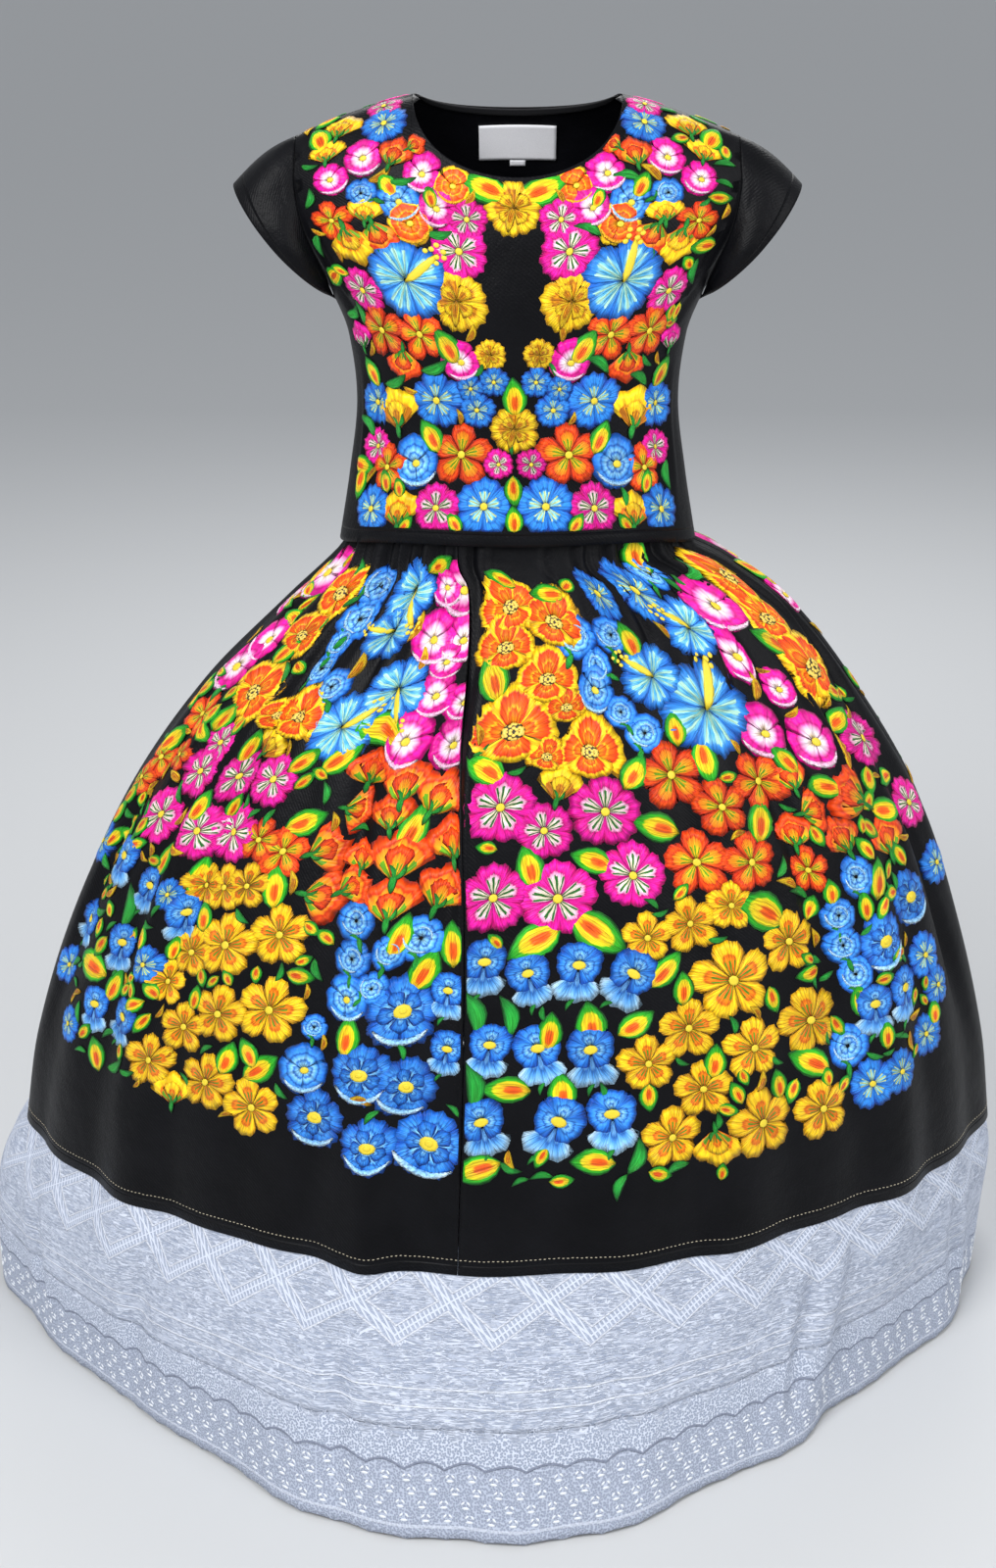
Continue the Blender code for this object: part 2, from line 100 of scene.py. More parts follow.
# Folds: angle from the front middle at the top and at the foot, degrees to one side of the
# crest at the top and at the foot, and millimetres of height at the top and at the foot.
skirtFolds = (
    (-79, -82, 7, 9, 5, 10), (-65, -68, 6.5, 9, 6, 6), (-53, -51, 6, 9, 5.5, 14),
    (-42, -37, 6, 8, 6.5, 4), (-32, -27, 5.5, 8, 6, 4), (-22, -15.5, 5.5, 7, 6.5, 16),
    (-12, -2, 5.5, 8, 5, 4), (22, 13, 5.5, 8, 6, 6), (33, 27, 6, 9, 6.5, 10),
    (45, 41, 6, 8, 6, 4), (56, 54, 6, 9, 6.5, 14), (67, 68, 6, 8, 5, 5), (80, 83, 7, 9, 6, 12),
    (94, 96, 6.5, 9, 5.5, 8), (106, 109, 6, 8, 6, 12), (117, 121, 6, 8, 6.5, 5),
    (129, 133, 6, 9, 5.5, 13), (140, 146, 6, 8, 6, 6), (152, 158, 6, 9, 6, 10),
    (164, 170, 6, 8, 6.5, 4), (177, 181, 6.5, 9, 5.5, 13), (190, 193, 6, 8, 6, 6),
    (202, 206, 6, 9, 6.5, 11), (213, 217, 6, 8, 5.5, 4), (225, 229, 6, 9, 6, 14),
    (237, 240, 6, 8, 6, 5), (249, 252, 6, 9, 5.5, 12), (261, 264, 6, 8, 6, 6),
)
flounceFolds = (
    (-82, -84, 9, 12, 0, 14), (-51, -52, 9, 12, 0, 4), (-15.5, -17, 8, 10, 0, 7),
    (12, 12, 9, 14, 0, 8), (40, 38, 6, 9, 0, 18), (66, 68, 9, 12, 0, 10),
    (96, 97, 9, 12, 0, 14), (129, 131, 9, 12, 0, 12), (160, 161, 9, 12, 0, 15),
    (193, 191, 9, 12, 0, 10), (224, 226, 9, 12, 0, 15), (254, 255, 8, 11, 0, 12),
)
# Creases: angle at the top and at the foot, how many millimetres down they start and end,
# degrees to one side, and millimetres of height, below zero for a trough.
skirtCreases = (
    (-83, -84, 60, 200, 2.2, -6), (-77.5, -79, 60, 170, 2, -5), (-71, -72, 60, 230, 2.4, -6.5),
    (-62.5, -64, 60, 180, 2, -5.5), (-57, -58, 60, 220, 2.2, -7),
    (-48.5, -49.5, 60, 190, 2.2, -6.5), (-44, -45.5, 60, 240, 2.2, -8),
    (-39.5, -40, 60, 160, 2.6, -7), (-34.5, -35, 60, 220, 2.2, -8),
    (-29, -28, 60, 190, 2.6, -7), (-22.5, -21.5, 60, 150, 2.4, -6),
    (-16, -14.5, 60, 160, 2.4, -6), (-9, -8, 60, 170, 2.2, -4), (9, 8.5, 60, 180, 2.2, -4),
    (18.5, 17, 60, 230, 2.2, -6.5), (23.5, 22, 60, 190, 2, -6), (30, 29, 60, 170, 2.4, -7.5),
    (36.5, 36, 60, 170, 2.6, -7), (42.5, 43.5, 60, 250, 2.4, -9), (52, 53, 60, 190, 2.2, -6),
    (58.5, 60, 60, 230, 2.2, -7), (65, 66.5, 60, 180, 2, -5.5), (75, 76.5, 60, 220, 2.4, -6.5),
    (82, 83, 60, 170, 2, -5), (98, 99, 60, 200, 2.2, -6.5), (114, 115.5, 60, 230, 2.2, -7),
    (120, 121, 60, 170, 2, -5.5), (132, 133, 60, 210, 2.2, -7), (143.5, 145, 60, 190, 2.2, -6),
    (153.5, 155, 60, 220, 2.2, -6.5), (162, 163, 60, 180, 2, -6),
    (167, 168.5, 60, 220, 2.2, -7), (176, 177, 60, 170, 2, -5.5),
    (187.5, 189, 60, 210, 2.2, -7), (192.5, 194, 60, 180, 2, -5.5),
    (203, 204, 60, 230, 2.2, -7), (214, 215.5, 60, 190, 2.2, -6),
    (225, 226, 60, 220, 2.2, -6.5), (240, 241.5, 60, 180, 2, -6),
    (245.5, 246.5, 60, 220, 2.2, -7), (256.5, 257.5, 60, 180, 2, -5.5),
    (47, 38.5, 105, 330, 3, -11), (39, 46, 220, 860, 3.4, -12), (46, 51, 240, 800, 3, 6),
    (40, 24.5, 95, 400, 3, -6), (84, 70, 105, 420, 3, -8), (70, 79, 330, 860, 3.2, -9),
    (58, 62, 140, 520, 2.6, 5), (-52, -47, 105, 500, 3.2, -12), (-47, -52, 330, 860, 3.4, -11),
    (-56, -54, 240, 760, 3, 6), (-51, -38, 95, 440, 2.4, -7), (-31, -19, 95, 580, 2.6, -9),
    (-27, -15, 130, 480, 2, 5), (-14.5, -7, 120, 620, 2, -8), (-11, -5, 130, 700, 1.8, 5),
    (14, 5, 95, 420, 2.6, -8), (-37, -33, 85, 280, 1.8, -6), (-43.5, -42, 85, 240, 1.8, -5),
    (27, 24, 85, 260, 1.8, -6), (-63, -66, 150, 600, 2.6, -7), (-74, -78, 260, 860, 2.8, -8),
    (-15.2, -14.8, 640, 990, 2.6, 5), (-11.5, -12, 700, 990, 2.4, -4),
    (23, 22, 660, 980, 3.6, -5), (0, 3, 420, 760, 3, -4), (106, 112, 105, 560, 3, -10),
    (112, 109, 380, 880, 3.2, -9), (124, 128, 90, 420, 2.4, -8), (137, 145, 105, 700, 3, -11),
    (149, 151, 85, 300, 2, -6), (157, 164, 110, 560, 2.6, -9), (171, 173, 85, 260, 1.8, 4),
    (181, 186, 105, 640, 2.8, -10), (197, 200, 85, 340, 2, -6), (209, 204, 120, 720, 3, -11),
    (219, 222, 90, 380, 2.2, 5), (233, 236, 105, 820, 3.2, -10), (251, 247, 110, 480, 2.4, -8),
    (262, 260, 260, 860, 2.8, -8),
)
laceCreases = (
    (40, 36, 45, 330, 2.6, -11.9), (44, 41, 45, 330, 3, 8.5), (-16, -15, 45, 330, 2.4, -8.5),
    (-44, -49, 60, 330, 3.4, -8.5), (-70, -66, 45, 300, 3, -10.2), (12, 16, 60, 330, 4, -6.8),
    (68, 72, 45, 330, 3.2, -10.2), (112, 108, 45, 330, 3, -10.2),
    (142, 147, 50, 330, 3.4, -10.2), (176, 172, 45, 310, 3, -8.5),
    (207, 211, 45, 330, 3.4, -11), (238, 234, 50, 330, 3, -9.3),
)
cloth = {
    "wall": 0.0015, "laceWall": 0.0014, "trimWall": 0.0010, "seamGap": 0.0003,
    "skirtLength": 0.895, "tuck": 0.032, "tuckClear": 0.0029,
    "edgingStart": 0.186, "cordAlong": 0.222, "laceLength": 0.285, "seamMargin": 0.00035,
}


def readSmoothly(rings, name, along):
    # one column of a ring table, read between its rows on a smooth curve
    rows = np.array(rings["rows"])
    places, values = rows[:, 0], rows[:, rings["columns"].index(name)]
    index = np.clip(np.searchsorted(places, along, side="right") - 1, 0, len(places) - 2)
    before, after = np.maximum(index - 1, 0), np.minimum(index + 2, len(places) - 1)
    span = places[index + 1] - places[index]
    share = (along - places[index]) / span
    riseIn = (values[index + 1] - values[before]) / (places[index + 1] - places[before]) * span
    riseOut = (values[after] - values[index]) / (places[after] - places[index]) * span
    square, cube = share**2, share**3
    return (
        values[index] * (2 * cube - 3 * square + 1) + riseIn * (cube - 2 * square + share)
        + values[index + 1] * (3 * square - 2 * cube) + riseOut * (cube - square)
    )


def turnFrom(angle, crest):
    # degrees from a crest, the short way round
    return (angle - crest + 180) % 360 - 180


def swell(away, width):
    # 1 on a crest, easing to nothing at its width
    return (1 + np.cos(np.pi * np.minimum(np.abs(away) / width, 1))) / 2


def shareBetween(value, start, end):
    return np.clip((value - start) / (end - start), 0, 1)


def foldHeight(folds, angle, share):
    # how far the folds push the cloth out, share of the way down
    total = np.zeros(np.broadcast(angle, share).shape)
    for topAngle, footAngle, topWidth, footWidth, topHeight, footHeight in folds:
        crest = topAngle + (footAngle - topAngle) * share
        width = topWidth + (footWidth - topWidth) * share
        height = (topHeight + (footHeight - topHeight) * share) / 1000
        total += height * swell(turnFrom(angle, crest), width)
    return total


def creaseHeight(creases, angle, along):
    # creases die out towards both of their ends
    total = np.zeros(np.broadcast(angle, along).shape)
    for topAngle, footAngle, start, end, width, height in creases:
        share = shareBetween(along, start / 1000, end / 1000)
        crest = topAngle + (footAngle - topAngle) * share
        fade = np.sin(np.pi * share**0.8) ** 2
        total += height / 1000 * fade * swell(turnFrom(angle, crest), width)
    return total


def ringPoint(rings, folds, angle, along, carried=0.0, share=None):
    # a point of the skirt or the flounce, angle degrees round from the front middle
    if share is None:
        share = along / rings["rows"][-1][0]
    ring = {name: readSmoothly(rings, name, along) for name in rings["columns"]}
    sine, cosine = np.sin(np.radians(angle)), np.cos(np.radians(angle))
    depth = np.where(cosine > 0, ring["front"], ring["back"])
    inset = 1 - ring["diamond"] * np.sin(2 * np.radians(angle)) ** 2
    out = foldHeight(folds, angle, share) + carried
    return np.stack([
        ring["shift"] + (ring["halfWidth"] * inset + out) * sine,
        -(depth * inset + out) * cosine,
        ring["height"] - ring["drop"] * sine**2,
    ], -1)


def pushOut(points, push, angle):
    # moves points away from the garment's middle
    points[..., 0] += push * np.sin(np.radians(angle))
    points[..., 1] -= push * np.cos(np.radians(angle))
    return points


def skirtPoint(angle, along):
    creases = creaseHeight(skirtCreases, angle, along)
    return ringPoint(skirtRings, skirtFolds, angle, along, creases)


def lacePoint(angle, along):
    # behind the hem the lace follows the skirt, and below it the skirt's folds die out
    tuck, hem = cloth["tuck"], cloth["skirtLength"]
    behind = skirtPoint(angle, hem - tuck + np.minimum(along, tuck))
    behind = pushOut(behind, -cloth["tuckClear"], angle)
    below = np.maximum(along, tuck)
    share = (below - tuck) / (cloth["laceLength"] - tuck)
    carried = foldHeight(skirtFolds, angle, 1) + creaseHeight(skirtCreases, angle, hem)
    carried = carried * (1 - share) ** 2 + creaseHeight(laceCreases, angle, below)
    hanging = ringPoint(flounceRings, flounceFolds, angle, below, carried, share)
    return np.where((along <= tuck)[..., None], behind, hanging)


blouse = {
    "neck": 0.109, "shoulder": 0.232, "frontNeck": 0.131, "backNeck": 0.071,
    "underarm": 0.275, "length": 0.515, "ridgeGap": 0.0005, "neckCurve": 0.70,
    "sideDepth": 0.173, "halfPattern": 0.29, "neckSteps": 22, "shoulderSteps": 10,
    "armholeSteps": 20, "rows": 84,
}
# Creases of the blouse: place across at the top and at the foot, start, end, width, height
blouseCreases = (
    (0.66, 0.62, 0.300, 0.500, 0.060, -0.0040),
    (0.78, 0.72, 0.310, 0.512, 0.050, 0.0030),
    (0.50, 0.47, 0.330, 0.470, 0.050, 0.0020),
    (0.86, 0.60, 0.200, 0.330, 0.060, -0.0030),
    (0.20, 0.17, 0.220, 0.330, 0.070, 0.0014),
)


def bodyPoint(across, along, side):
    # a point of the blouse: across runs from -1 to 1 between the side seams
    turn = np.radians(90 * across)
    depth = readSmoothly(bodyRings, "front" if side < 0 else "back", along)
    bend = readSmoothly(bodyRings, "bend", along)
    fall = readSmoothly(bodyRings, "drop", along) * np.abs(np.sin(turn)) ** bend
    half = readSmoothly(bodyRings, "halfWidth", along)
    height = readSmoothly(bodyRings, "height", along)
    return np.stack([half * np.sin(turn), side * depth * np.cos(turn), height - fall], -1)


def blousePoint(across, along, side):
    # the blouse with its creases, a little fainter on one half
    points = bodyPoint(across, along, side)
    push = np.zeros(np.shape(across))
    for top, foot, start, end, width, height in blouseCreases:
        share = shareBetween(along, start, end)
        fade = np.sin(np.pi * share) ** 2
        for hand, strength in ((-1, 1.0), (1, 0.8)):
            away = across - hand * (top + (foot - top) * share)
            push += strength * height * fade * swell(away, width)
    points[..., 0] += push * np.sin(np.radians(90 * across))
    points[..., 1] += side * push * np.cos(np.radians(90 * across))
    return points


def shoulderAcross(halfWidth):
    return math.degrees(math.asin(halfWidth / bodyRings["rows"][0][2])) / 90


def blouseEdge(across, side):
    # where the cloth starts below the shoulder line: the neck, the shoulder or the armhole
    away = np.abs(across)
    neck, shoulder = shoulderAcross(blouse["neck"]), shoulderAcross(blouse["shoulder"])
    deepest = blouse["frontNeck"] if side < 0 else blouse["backNeck"]
    fromNeck = deepest * np.maximum(1 - (away / neck) ** 2, 0) ** (blouse["neckCurve"] / 2)
    inwards = np.clip((1 - away) / (1 - shoulder), 0, 1)
    fromArmhole = blouse["underarm"] * np.maximum(1 - inwards**2, 0) ** (1 / 3)
    return np.where(away < neck, fromNeck, np.where(away > shoulder, fromArmhole, 0))


print("form ready")


def addNode(tree, kind, inputs=None, **settings):
    node = tree.nodes.new("ShaderNode" + kind)
    for name, value in settings.items():
        setattr(node, name, value)
    for socket, value in (inputs or {}).items():
        if isinstance(value, bpy.types.NodeSocket):
            tree.links.new(value, node.inputs[socket])
        else:
            node.inputs[socket].default_value = value
    return node


def mathTools(tree, *operations):
    # a short function for each kind of sum that a material needs
    def tool(operation):
        def sumNode(first, second=0.0):
            return addNode(tree, "Math", {0: first, 1: second}, operation=operation).outputs[0]
        return sumNode
    return [tool(operation) for operation in operations]


def rangeNode(tree, value, low=0.0, high=1.0, foot=0.0, top=1.0):
    return addNode(tree, "MapRange", {0: value, 1: low, 2: high, 3: foot, 4: top}).outputs[0]


def noiseNode(tree, place, scale=1.0, detail=2.0, warp=0.0):
    settings = {"Vector": place, "Scale": scale, "Detail": detail, "Distortion": warp}
    return addNode(tree, "TexNoise", settings).outputs[0]


def stretchNode(tree, vector, sizes):
    return addNode(tree, "VectorMath", {0: vector, 1: sizes}, operation="MULTIPLY").outputs[0]


def mixNode(tree, share, first, second):
    return addNode(tree, "Mix", {0: share, 2: first, 3: second}).outputs[0]


def mixColour(tree, share, first, second):
    return addNode(tree, "Mix", {0: share, 6: first, 7: second}, data_type="RGBA").outputs[2]


def rampNode(tree, factor, stops, interpolation="LINEAR"):
    ramp = addNode(tree, "ValToRGB", {"Fac": factor})
    ramp.color_ramp.interpolation = interpolation
    elements = ramp.color_ramp.elements
    while len(elements) < len(stops):
        elements.new(1.0)
    for element, (place, colour) in zip(elements, stops):
        element.position = place
        element.color = (*colour, 1) if isinstance(colour, tuple) else (colour, colour, colour, 1)
    return ramp.outputs["Color"]


def startMaterial(name, colour, roughness, sheen=0.0, sheenRoughness=0.5, specular=0.5):
    made = bpy.data.materials.new(name)
    made.use_nodes = True
    shader = made.node_tree.nodes["Principled BSDF"]
    shader.inputs["Base Color"].default_value = (*colour, 1)
    shader.inputs["Roughness"].default_value = roughness
    shader.inputs["Sheen Weight"].default_value = sheen
    shader.inputs["Sheen Roughness"].default_value = sheenRoughness
    shader.inputs["Specular IOR Level"].default_value = specular
    return made, made.node_tree, shader


def bumpNode(tree, shader, height, distance, strength=1.0):
    bump = addNode(tree, "Bump", {"Height": height, "Distance": distance, "Strength": strength})
    tree.links.new(bump.outputs["Normal"], shader.inputs["Normal"])


satin = {
    "colour": (0.0014, 0.0015, 0.0024), "lit": (0.0036, 0.0037, 0.0052), "roughness": 0.46,
    "roughRange": (0.36, 0.54), "sheen": 0.012, "gloss": 0.12, "twill": 900, "twillHeight": 0.25,
    "rumple": 14, "rumpleHeight": 9.0, "grain": 420, "hem": 0.012, "groove": (0.0016, -3.0),
    "relief": 0.0004,
}


def makeSatin(name):
    # black cotton satin: a fine twill, faint rumples, and the groove of a sewn hem
    made, tree, shader = startMaterial(
        name, satin["colour"], satin["roughness"], satin["sheen"], 0.4, satin["gloss"])
    plus, minus, times, size = mathTools(tree, "ADD", "SUBTRACT", "MULTIPLY", "ABSOLUTE")
    flat = addNode(tree, "UVMap", uv_map="cloth").outputs[0]
    place = addNode(tree, "TexCoord").outputs["Object"]
    rumple = noiseNode(tree, place, satin["rumple"], 4.0)
    shade = rampNode(tree, rumple, ((0.35, satin["colour"]), (0.7, satin["lit"])))
    tree.links.new(shade, shader.inputs["Base Color"])
    grain = noiseNode(tree, place, satin["grain"])
    rough = rangeNode(tree, grain, 0.0, 1.0, *satin["roughRange"])
    tree.links.new(rough, shader.inputs["Roughness"])
    lines = {"Vector": flat, "Scale": satin["twill"] / 6.28, "Distortion": 0.6, "Detail": 1.0}
    twill = addNode(tree, "TexWave", lines, bands_direction="DIAGONAL")
    up = addNode(tree, "SeparateXYZ", {0: flat}).outputs[1]
    width, depth = satin["groove"]
    groove = rangeNode(tree, size(minus(up, satin["hem"])), 0.0, width, depth, 0.0)
    height = times(twill.outputs[1], satin["twillHeight"])
    height = plus(height, times(rumple, satin["rumpleHeight"]))
    bumpNode(tree, shader, plus(height, plus(groove, grain)), satin["relief"])
    return made


stitching = {
    "roughness": 0.42, "sheen": 0.04, "gloss": 0.28, "ends": (11.0, 1.6, 60.0), "ragged": 0.20,
    "strands": (13.0, 1.7, 90.0), "stamen": 0.10, "sideStamens": 0.42, "sideStamen": 0.07,
    "tones": (0.94, 1.22), "streaks": (0.3, 0.7, 0.92, 1.12), "shades": (0.36, 0.62, 0.66, 1.16),
    "strandHeight": 3.0, "relief": 0.0009,
}


def makeThread(name):
    # satin stitch: bands of colour along the petal's outline, with ragged thread ends; the darker
    # last band of most tables is painted shade along the outline, where petals meet
    bands = [(place / 100, tuple(part / 100 for part in colour))
             for place, *colour in threadBands[name]]
    made, tree, shader = startMaterial("thread " + name, bands[-1][1], stitching["roughness"],
                                       stitching["sheen"], 0.4, stitching["gloss"])
    plus, minus, times, size, power, less, most = mathTools(
        tree, "ADD", "SUBTRACT", "MULTIPLY", "ABSOLUTE", "POWER", "LESS_THAN", "MAXIMUM")
    stitch = addNode(tree, "Attribute", attribute_name="stitch").outputs["Vector"]
    across, down, tone = addNode(tree, "SeparateXYZ", {0: stitch}).outputs[:3]
    band = plus(power(size(across), 3.0), power(down, 3.0))
    band = power(band, 1 / 3)
    ends = noiseNode(tree, stretchNode(tree, stitch, stitching["ends"]))
    ragged = times(minus(ends, 0.5), stitching["ragged"])
    colour = rampNode(tree, plus(band, ragged), bands)
    if name in stamens:
        *stamenColour, reach = [part / 100 for part in stamens[name]]
        middle = less(size(across), stitching["stamen"])
        pair = size(minus(size(across), stitching["sideStamens"]))
        middle = most(middle, less(pair, stitching["sideStamen"]))
        drawn = times(middle, less(plus(down, ragged), reach))
        colour = mixColour(tree, drawn, colour, (*stamenColour, 1))
    value = rangeNode(tree, tone, 0.0, 1.0, *stitching["tones"])
    value = times(value, rangeNode(tree, ends, *stitching["streaks"]))
    strands = noiseNode(tree, stretchNode(tree, stitch, stitching["strands"]), 1.0, 1.0)
    value = times(value, rangeNode(tree, strands, *stitching["shades"]))
    shaded = addNode(tree, "VectorMath", {0: colour, "Scale": value}, operation="SCALE").outputs[0]
    tree.links.new(shaded, shader.inputs["Base Color"])
    height = plus(times(strands, stitching["strandHeight"]), ends)
    bumpNode(tree, shader, height, stitching["relief"])
    return made


lace = {
    "colour": (0.64, 0.69, 0.81), "shade": (0.33, 0.38, 0.50), "raised": (0.78, 0.82, 0.92),
    "edgeColour": (0.49, 0.54, 0.66), "edgeShade": (0.33, 0.37, 0.48), "line": (0.24, 0.27, 0.36),
    "threads": (80, 620, 1), "drawing": (30, 84, 1), "net": 420.0,
    "diamond": 0.105, "diamondFoot": 0.185, "rise": 0.72, "band": 0.0085, "dash": 0.0030,
    "tooth": 0.016, "toothRise": 1.1, "toothFoot": 0.084, "rowPitch": 0.0085,
    "rows": (0.108, 0.144), "hem": 0.011, "scallops": 74.0, "scallopRise": 0.006,
    "threadCover": (0.40, 0.60), "vein": (0.020, 0.008), "leafCover": (0.55, 0.64),
    "netCover": (0.30, 0.55), "edge": (0.0018, 0.0010), "rowEdge": (0.0012, 0.0006),
    "lineEdge": (0.0015, 0.0008), "relief": 0.0007,
}


def makeLace(name):
    # Backed lace: fine wavy threads with drawn leaves, a band of open diamonds, and a net with a
    # toothed edge. Below a scalloped cord it has the plainer ground of the edging.
    made, tree, shader = startMaterial(name, lace["colour"], 0.74, 0.05, 0.5, 0.25)
    plus, minus, times, size, least, most, zigzag, sine = mathTools(
        tree, "ADD", "SUBTRACT", "MULTIPLY", "ABSOLUTE", "MINIMUM", "MAXIMUM", "PINGPONG", "SINE")

    def step(value, low, high):
        return rangeNode(tree, value, low, high)

    flat = addNode(tree, "UVMap", uv_map="cloth").outputs[0]
    across, up = addNode(tree, "SeparateXYZ", {0: flat}).outputs[:2]
    wavy = noiseNode(tree, stretchNode(tree, flat, lace["threads"]), 1.0, 3.0, 1.2)
    leaves = noiseNode(tree, stretchNode(tree, flat, lace["drawing"]), 1.0, 2.0, 1.4)
    veins = step(size(minus(leaves, 0.5)), *lace["vein"])
    cover = most(step(wavy, *lace["threadCover"]), veins)
    cover = most(cover, times(step(leaves, *lace["leafCover"]), 0.45))
    net = addNode(tree, "TexVoronoi", {"Vector": flat, "Scale": lace["net"]},
                  voronoi_dimensions="2D").outputs["Distance"]
    net = step(net, *lace["netCover"])

    slope = times(zigzag(across, lace["diamond"]), lace["rise"])
    top = lace["diamondFoot"] + lace["diamond"] * lace["rise"]
    rising = size(minus(up, plus(slope, lace["diamondFoot"])))
    band = least(rising, size(minus(up, minus(top, slope))))
    slant = plus(across, times(up, 0.8))
    holes = most(step(zigzag(slant, lace["dash"]), *lace["edge"]), step(band, *lace["edge"]))
    holes = most(holes, times(cover, 0.3))
    teeth = plus(times(zigzag(across, lace["tooth"]), lace["toothRise"]), lace["toothFoot"])
    filled = mixNode(tree, step(minus(up, teeth), 0.002, 0.0), cover, net)
    filled = mixNode(tree, step(band, lace["band"], lace["band"] * 0.8), filled, holes)

    first, last = lace["rows"]
    rows = times(step(up, last + 0.002, last - 0.002), step(up, first - 0.002, first + 0.002))
    rows = times(step(zigzag(up, lace["rowPitch"]), *lace["rowEdge"]), rows)
    rim = times(step(band, lace["band"] * 1.35, lace["band"] * 1.2),
                step(band, lace["band"] * 0.95, lace["band"] * 1.05))
    foot = times(step(size(minus(up, lace["hem"])), *lace["edge"]), 0.5)
    raised = most(most(rows, rim), foot)

    scallop = times(size(sine(times(across, lace["scallops"]))), lace["scallopRise"])
    fromCord = minus(up, plus(scallop, cloth["laceLength"] - cloth["cordAlong"]))
    line = step(size(fromCord), *lace["lineEdge"])
    colour = rampNode(tree, filled, ((0.0, lace["shade"]), (1.0, lace["colour"])))
    edgeColour = rampNode(tree, net, ((0.0, lace["edgeShade"]), (1.0, lace["edgeColour"])))
    colour = mixColour(tree, step(fromCord, 0.001, -0.001), colour, edgeColour)
    colour = mixColour(tree, raised, colour, (*lace["raised"], 1))
    colour = mixColour(tree, line, colour, (*lace["line"], 1))
    tree.links.new(colour, shader.inputs["Base Color"])
    height = plus(plus(times(raised, 1.4), filled), times(line, 1.6))
    bumpNode(tree, shader, height, lace["relief"])
    return made


def makePlain(name, colour, roughness, scale, height=0.0002):
    # a plain woven or painted surface with a fine grain
    made, tree, shader = startMaterial(name, colour, roughness)
    grain = noiseNode(tree, addNode(tree, "TexCoord").outputs["Object"], scale, 3.0)
    dark = tuple(value * 0.88 for value in colour)
    shade = rampNode(tree, grain, ((0.3, dark), (0.7, colour)))
    tree.links.new(shade, shader.inputs["Base Color"])
    bumpNode(tree, shader, grain, height)
    return made


# Bands from a petal's heart to its outline: how far out, then red, green and blue, in
# hundredths. Stamens: their colour, and how far out they reach.
# In most tables the last band is darker than the one before it: painted shade along each petal's
# outline, where it meets the next petal.
threadBands = {
    "magenta": (
        (0, 82, 62, 40), (34, 94, 84, 62), (52, 94, 70, 74), (62, 92, 34, 60), (67, 52, 0, 18),
        (73, 84, 0.4, 30), (88, 86, 1, 38), (100, 62, 0, 18),
    ),
    "orange": (
        (0, 72, 50, 1), (30, 96, 62, 1), (52, 95, 36, 0.8), (68, 93, 22, 0.6), (74, 66, 3, 0.2),
        (82, 90, 8.5, 0.6), (100, 70, 3, 0.2),
    ),
    "yellow": (
        (0, 80, 36, 0.4), (28, 93, 15, 0.3), (50, 95, 26, 0.4), (60, 72, 12, 0.2),
        (66, 98, 56, 0.8), (86, 98, 62, 1), (100, 80, 38, 0.3),
    ),
    "blue": (
        (0, 40, 72, 50), (36, 24, 64, 84), (48, 5, 36, 80), (58, 1, 12, 50), (66, 3, 26, 80),
        (84, 2, 20, 72), (100, 0.8, 7, 42),
    ),
    "bellBlue": (
        (0, 40, 72, 92), (20, 20, 54, 90), (30, 1, 12, 52), (38, 24, 58, 92), (50, 8, 36, 86),
        (58, 0.8, 9, 44), (66, 5, 29, 82), (80, 1.8, 18, 68), (100, 0.6, 7, 40),
    ),
    "hibiscus": (
        (0, 50, 72, 20), (30, 16, 56, 66), (50, 7, 42, 80), (66, 20, 60, 88), (76, 4, 28, 80),
        (100, 1, 12, 54),
    ),
    "poppy": (
        (0, 93, 42, 0.6), (26, 92, 22, 0.4), (40, 86, 7, 0.2), (45, 96, 46, 0.7),
        (52, 91, 14, 0.3), (70, 87, 6, 0.2), (76, 70, 3.5, 0.1), (82, 98, 56, 1),
        (92, 98, 66, 1), (100, 84, 42, 0.4),
    ),
    "gold": (
        (0, 62, 30, 0.8), (26, 92, 52, 0.8), (40, 60, 17, 0.3), (52, 90, 38, 0.5),
        (60, 62, 20, 0.3), (68, 96, 58, 1), (88, 98, 66, 1.2), (100, 72, 36, 0.4),
    ),
    "leaf": (
        (0, 78, 6, 0.4), (24, 90, 14, 0.5), (32, 96, 55, 1), (58, 80, 70, 1), (64, 5, 46, 1),
        (82, 2, 40, 2), (100, 0.5, 14, 1.2),
    ),
    "green": (
        (0, 3, 36, 3), (60, 2, 42, 5), (100, 0.5, 12, 1.5),
    ),
    "bowlPink": (
        (0, 93, 62, 16), (12, 94, 74, 60), (26, 95, 78, 86), (40, 93, 44, 70), (50, 87, 8, 44),
        (56, 58, 0, 20), (64, 85, 0.8, 34), (100, 70, 0, 24),
    ),
    "lipPink": (
        (0, 88, 30, 58), (60, 93, 58, 76), (100, 92, 76, 84),
    ),
    "lipBlue": (
        (0, 8, 34, 82), (60, 36, 66, 92), (100, 66, 82, 92),
    ),
    "lipOrange": (
        (0, 88, 14, 0.6), (60, 93, 40, 0.8), (100, 96, 60, 2),
    ),
    "tube": (
        (0, 3, 20, 66), (36, 16, 44, 88), (48, 2, 14, 54), (64, 10, 38, 88), (84, 26, 56, 92),
        (100, 50, 74, 94),
    ),
}
stamens = {
    "magenta": (2, 16, 2, 56), "orange": (12, 34, 1, 46), "yellow": (12, 30, 1, 46),
    "blue": (60, 72, 28, 50), "hibiscus": (42, 74, 60, 72), "gold": (45, 14, 0.3, 60),
}
threads = {name: makeThread(name) for name in threadBands}


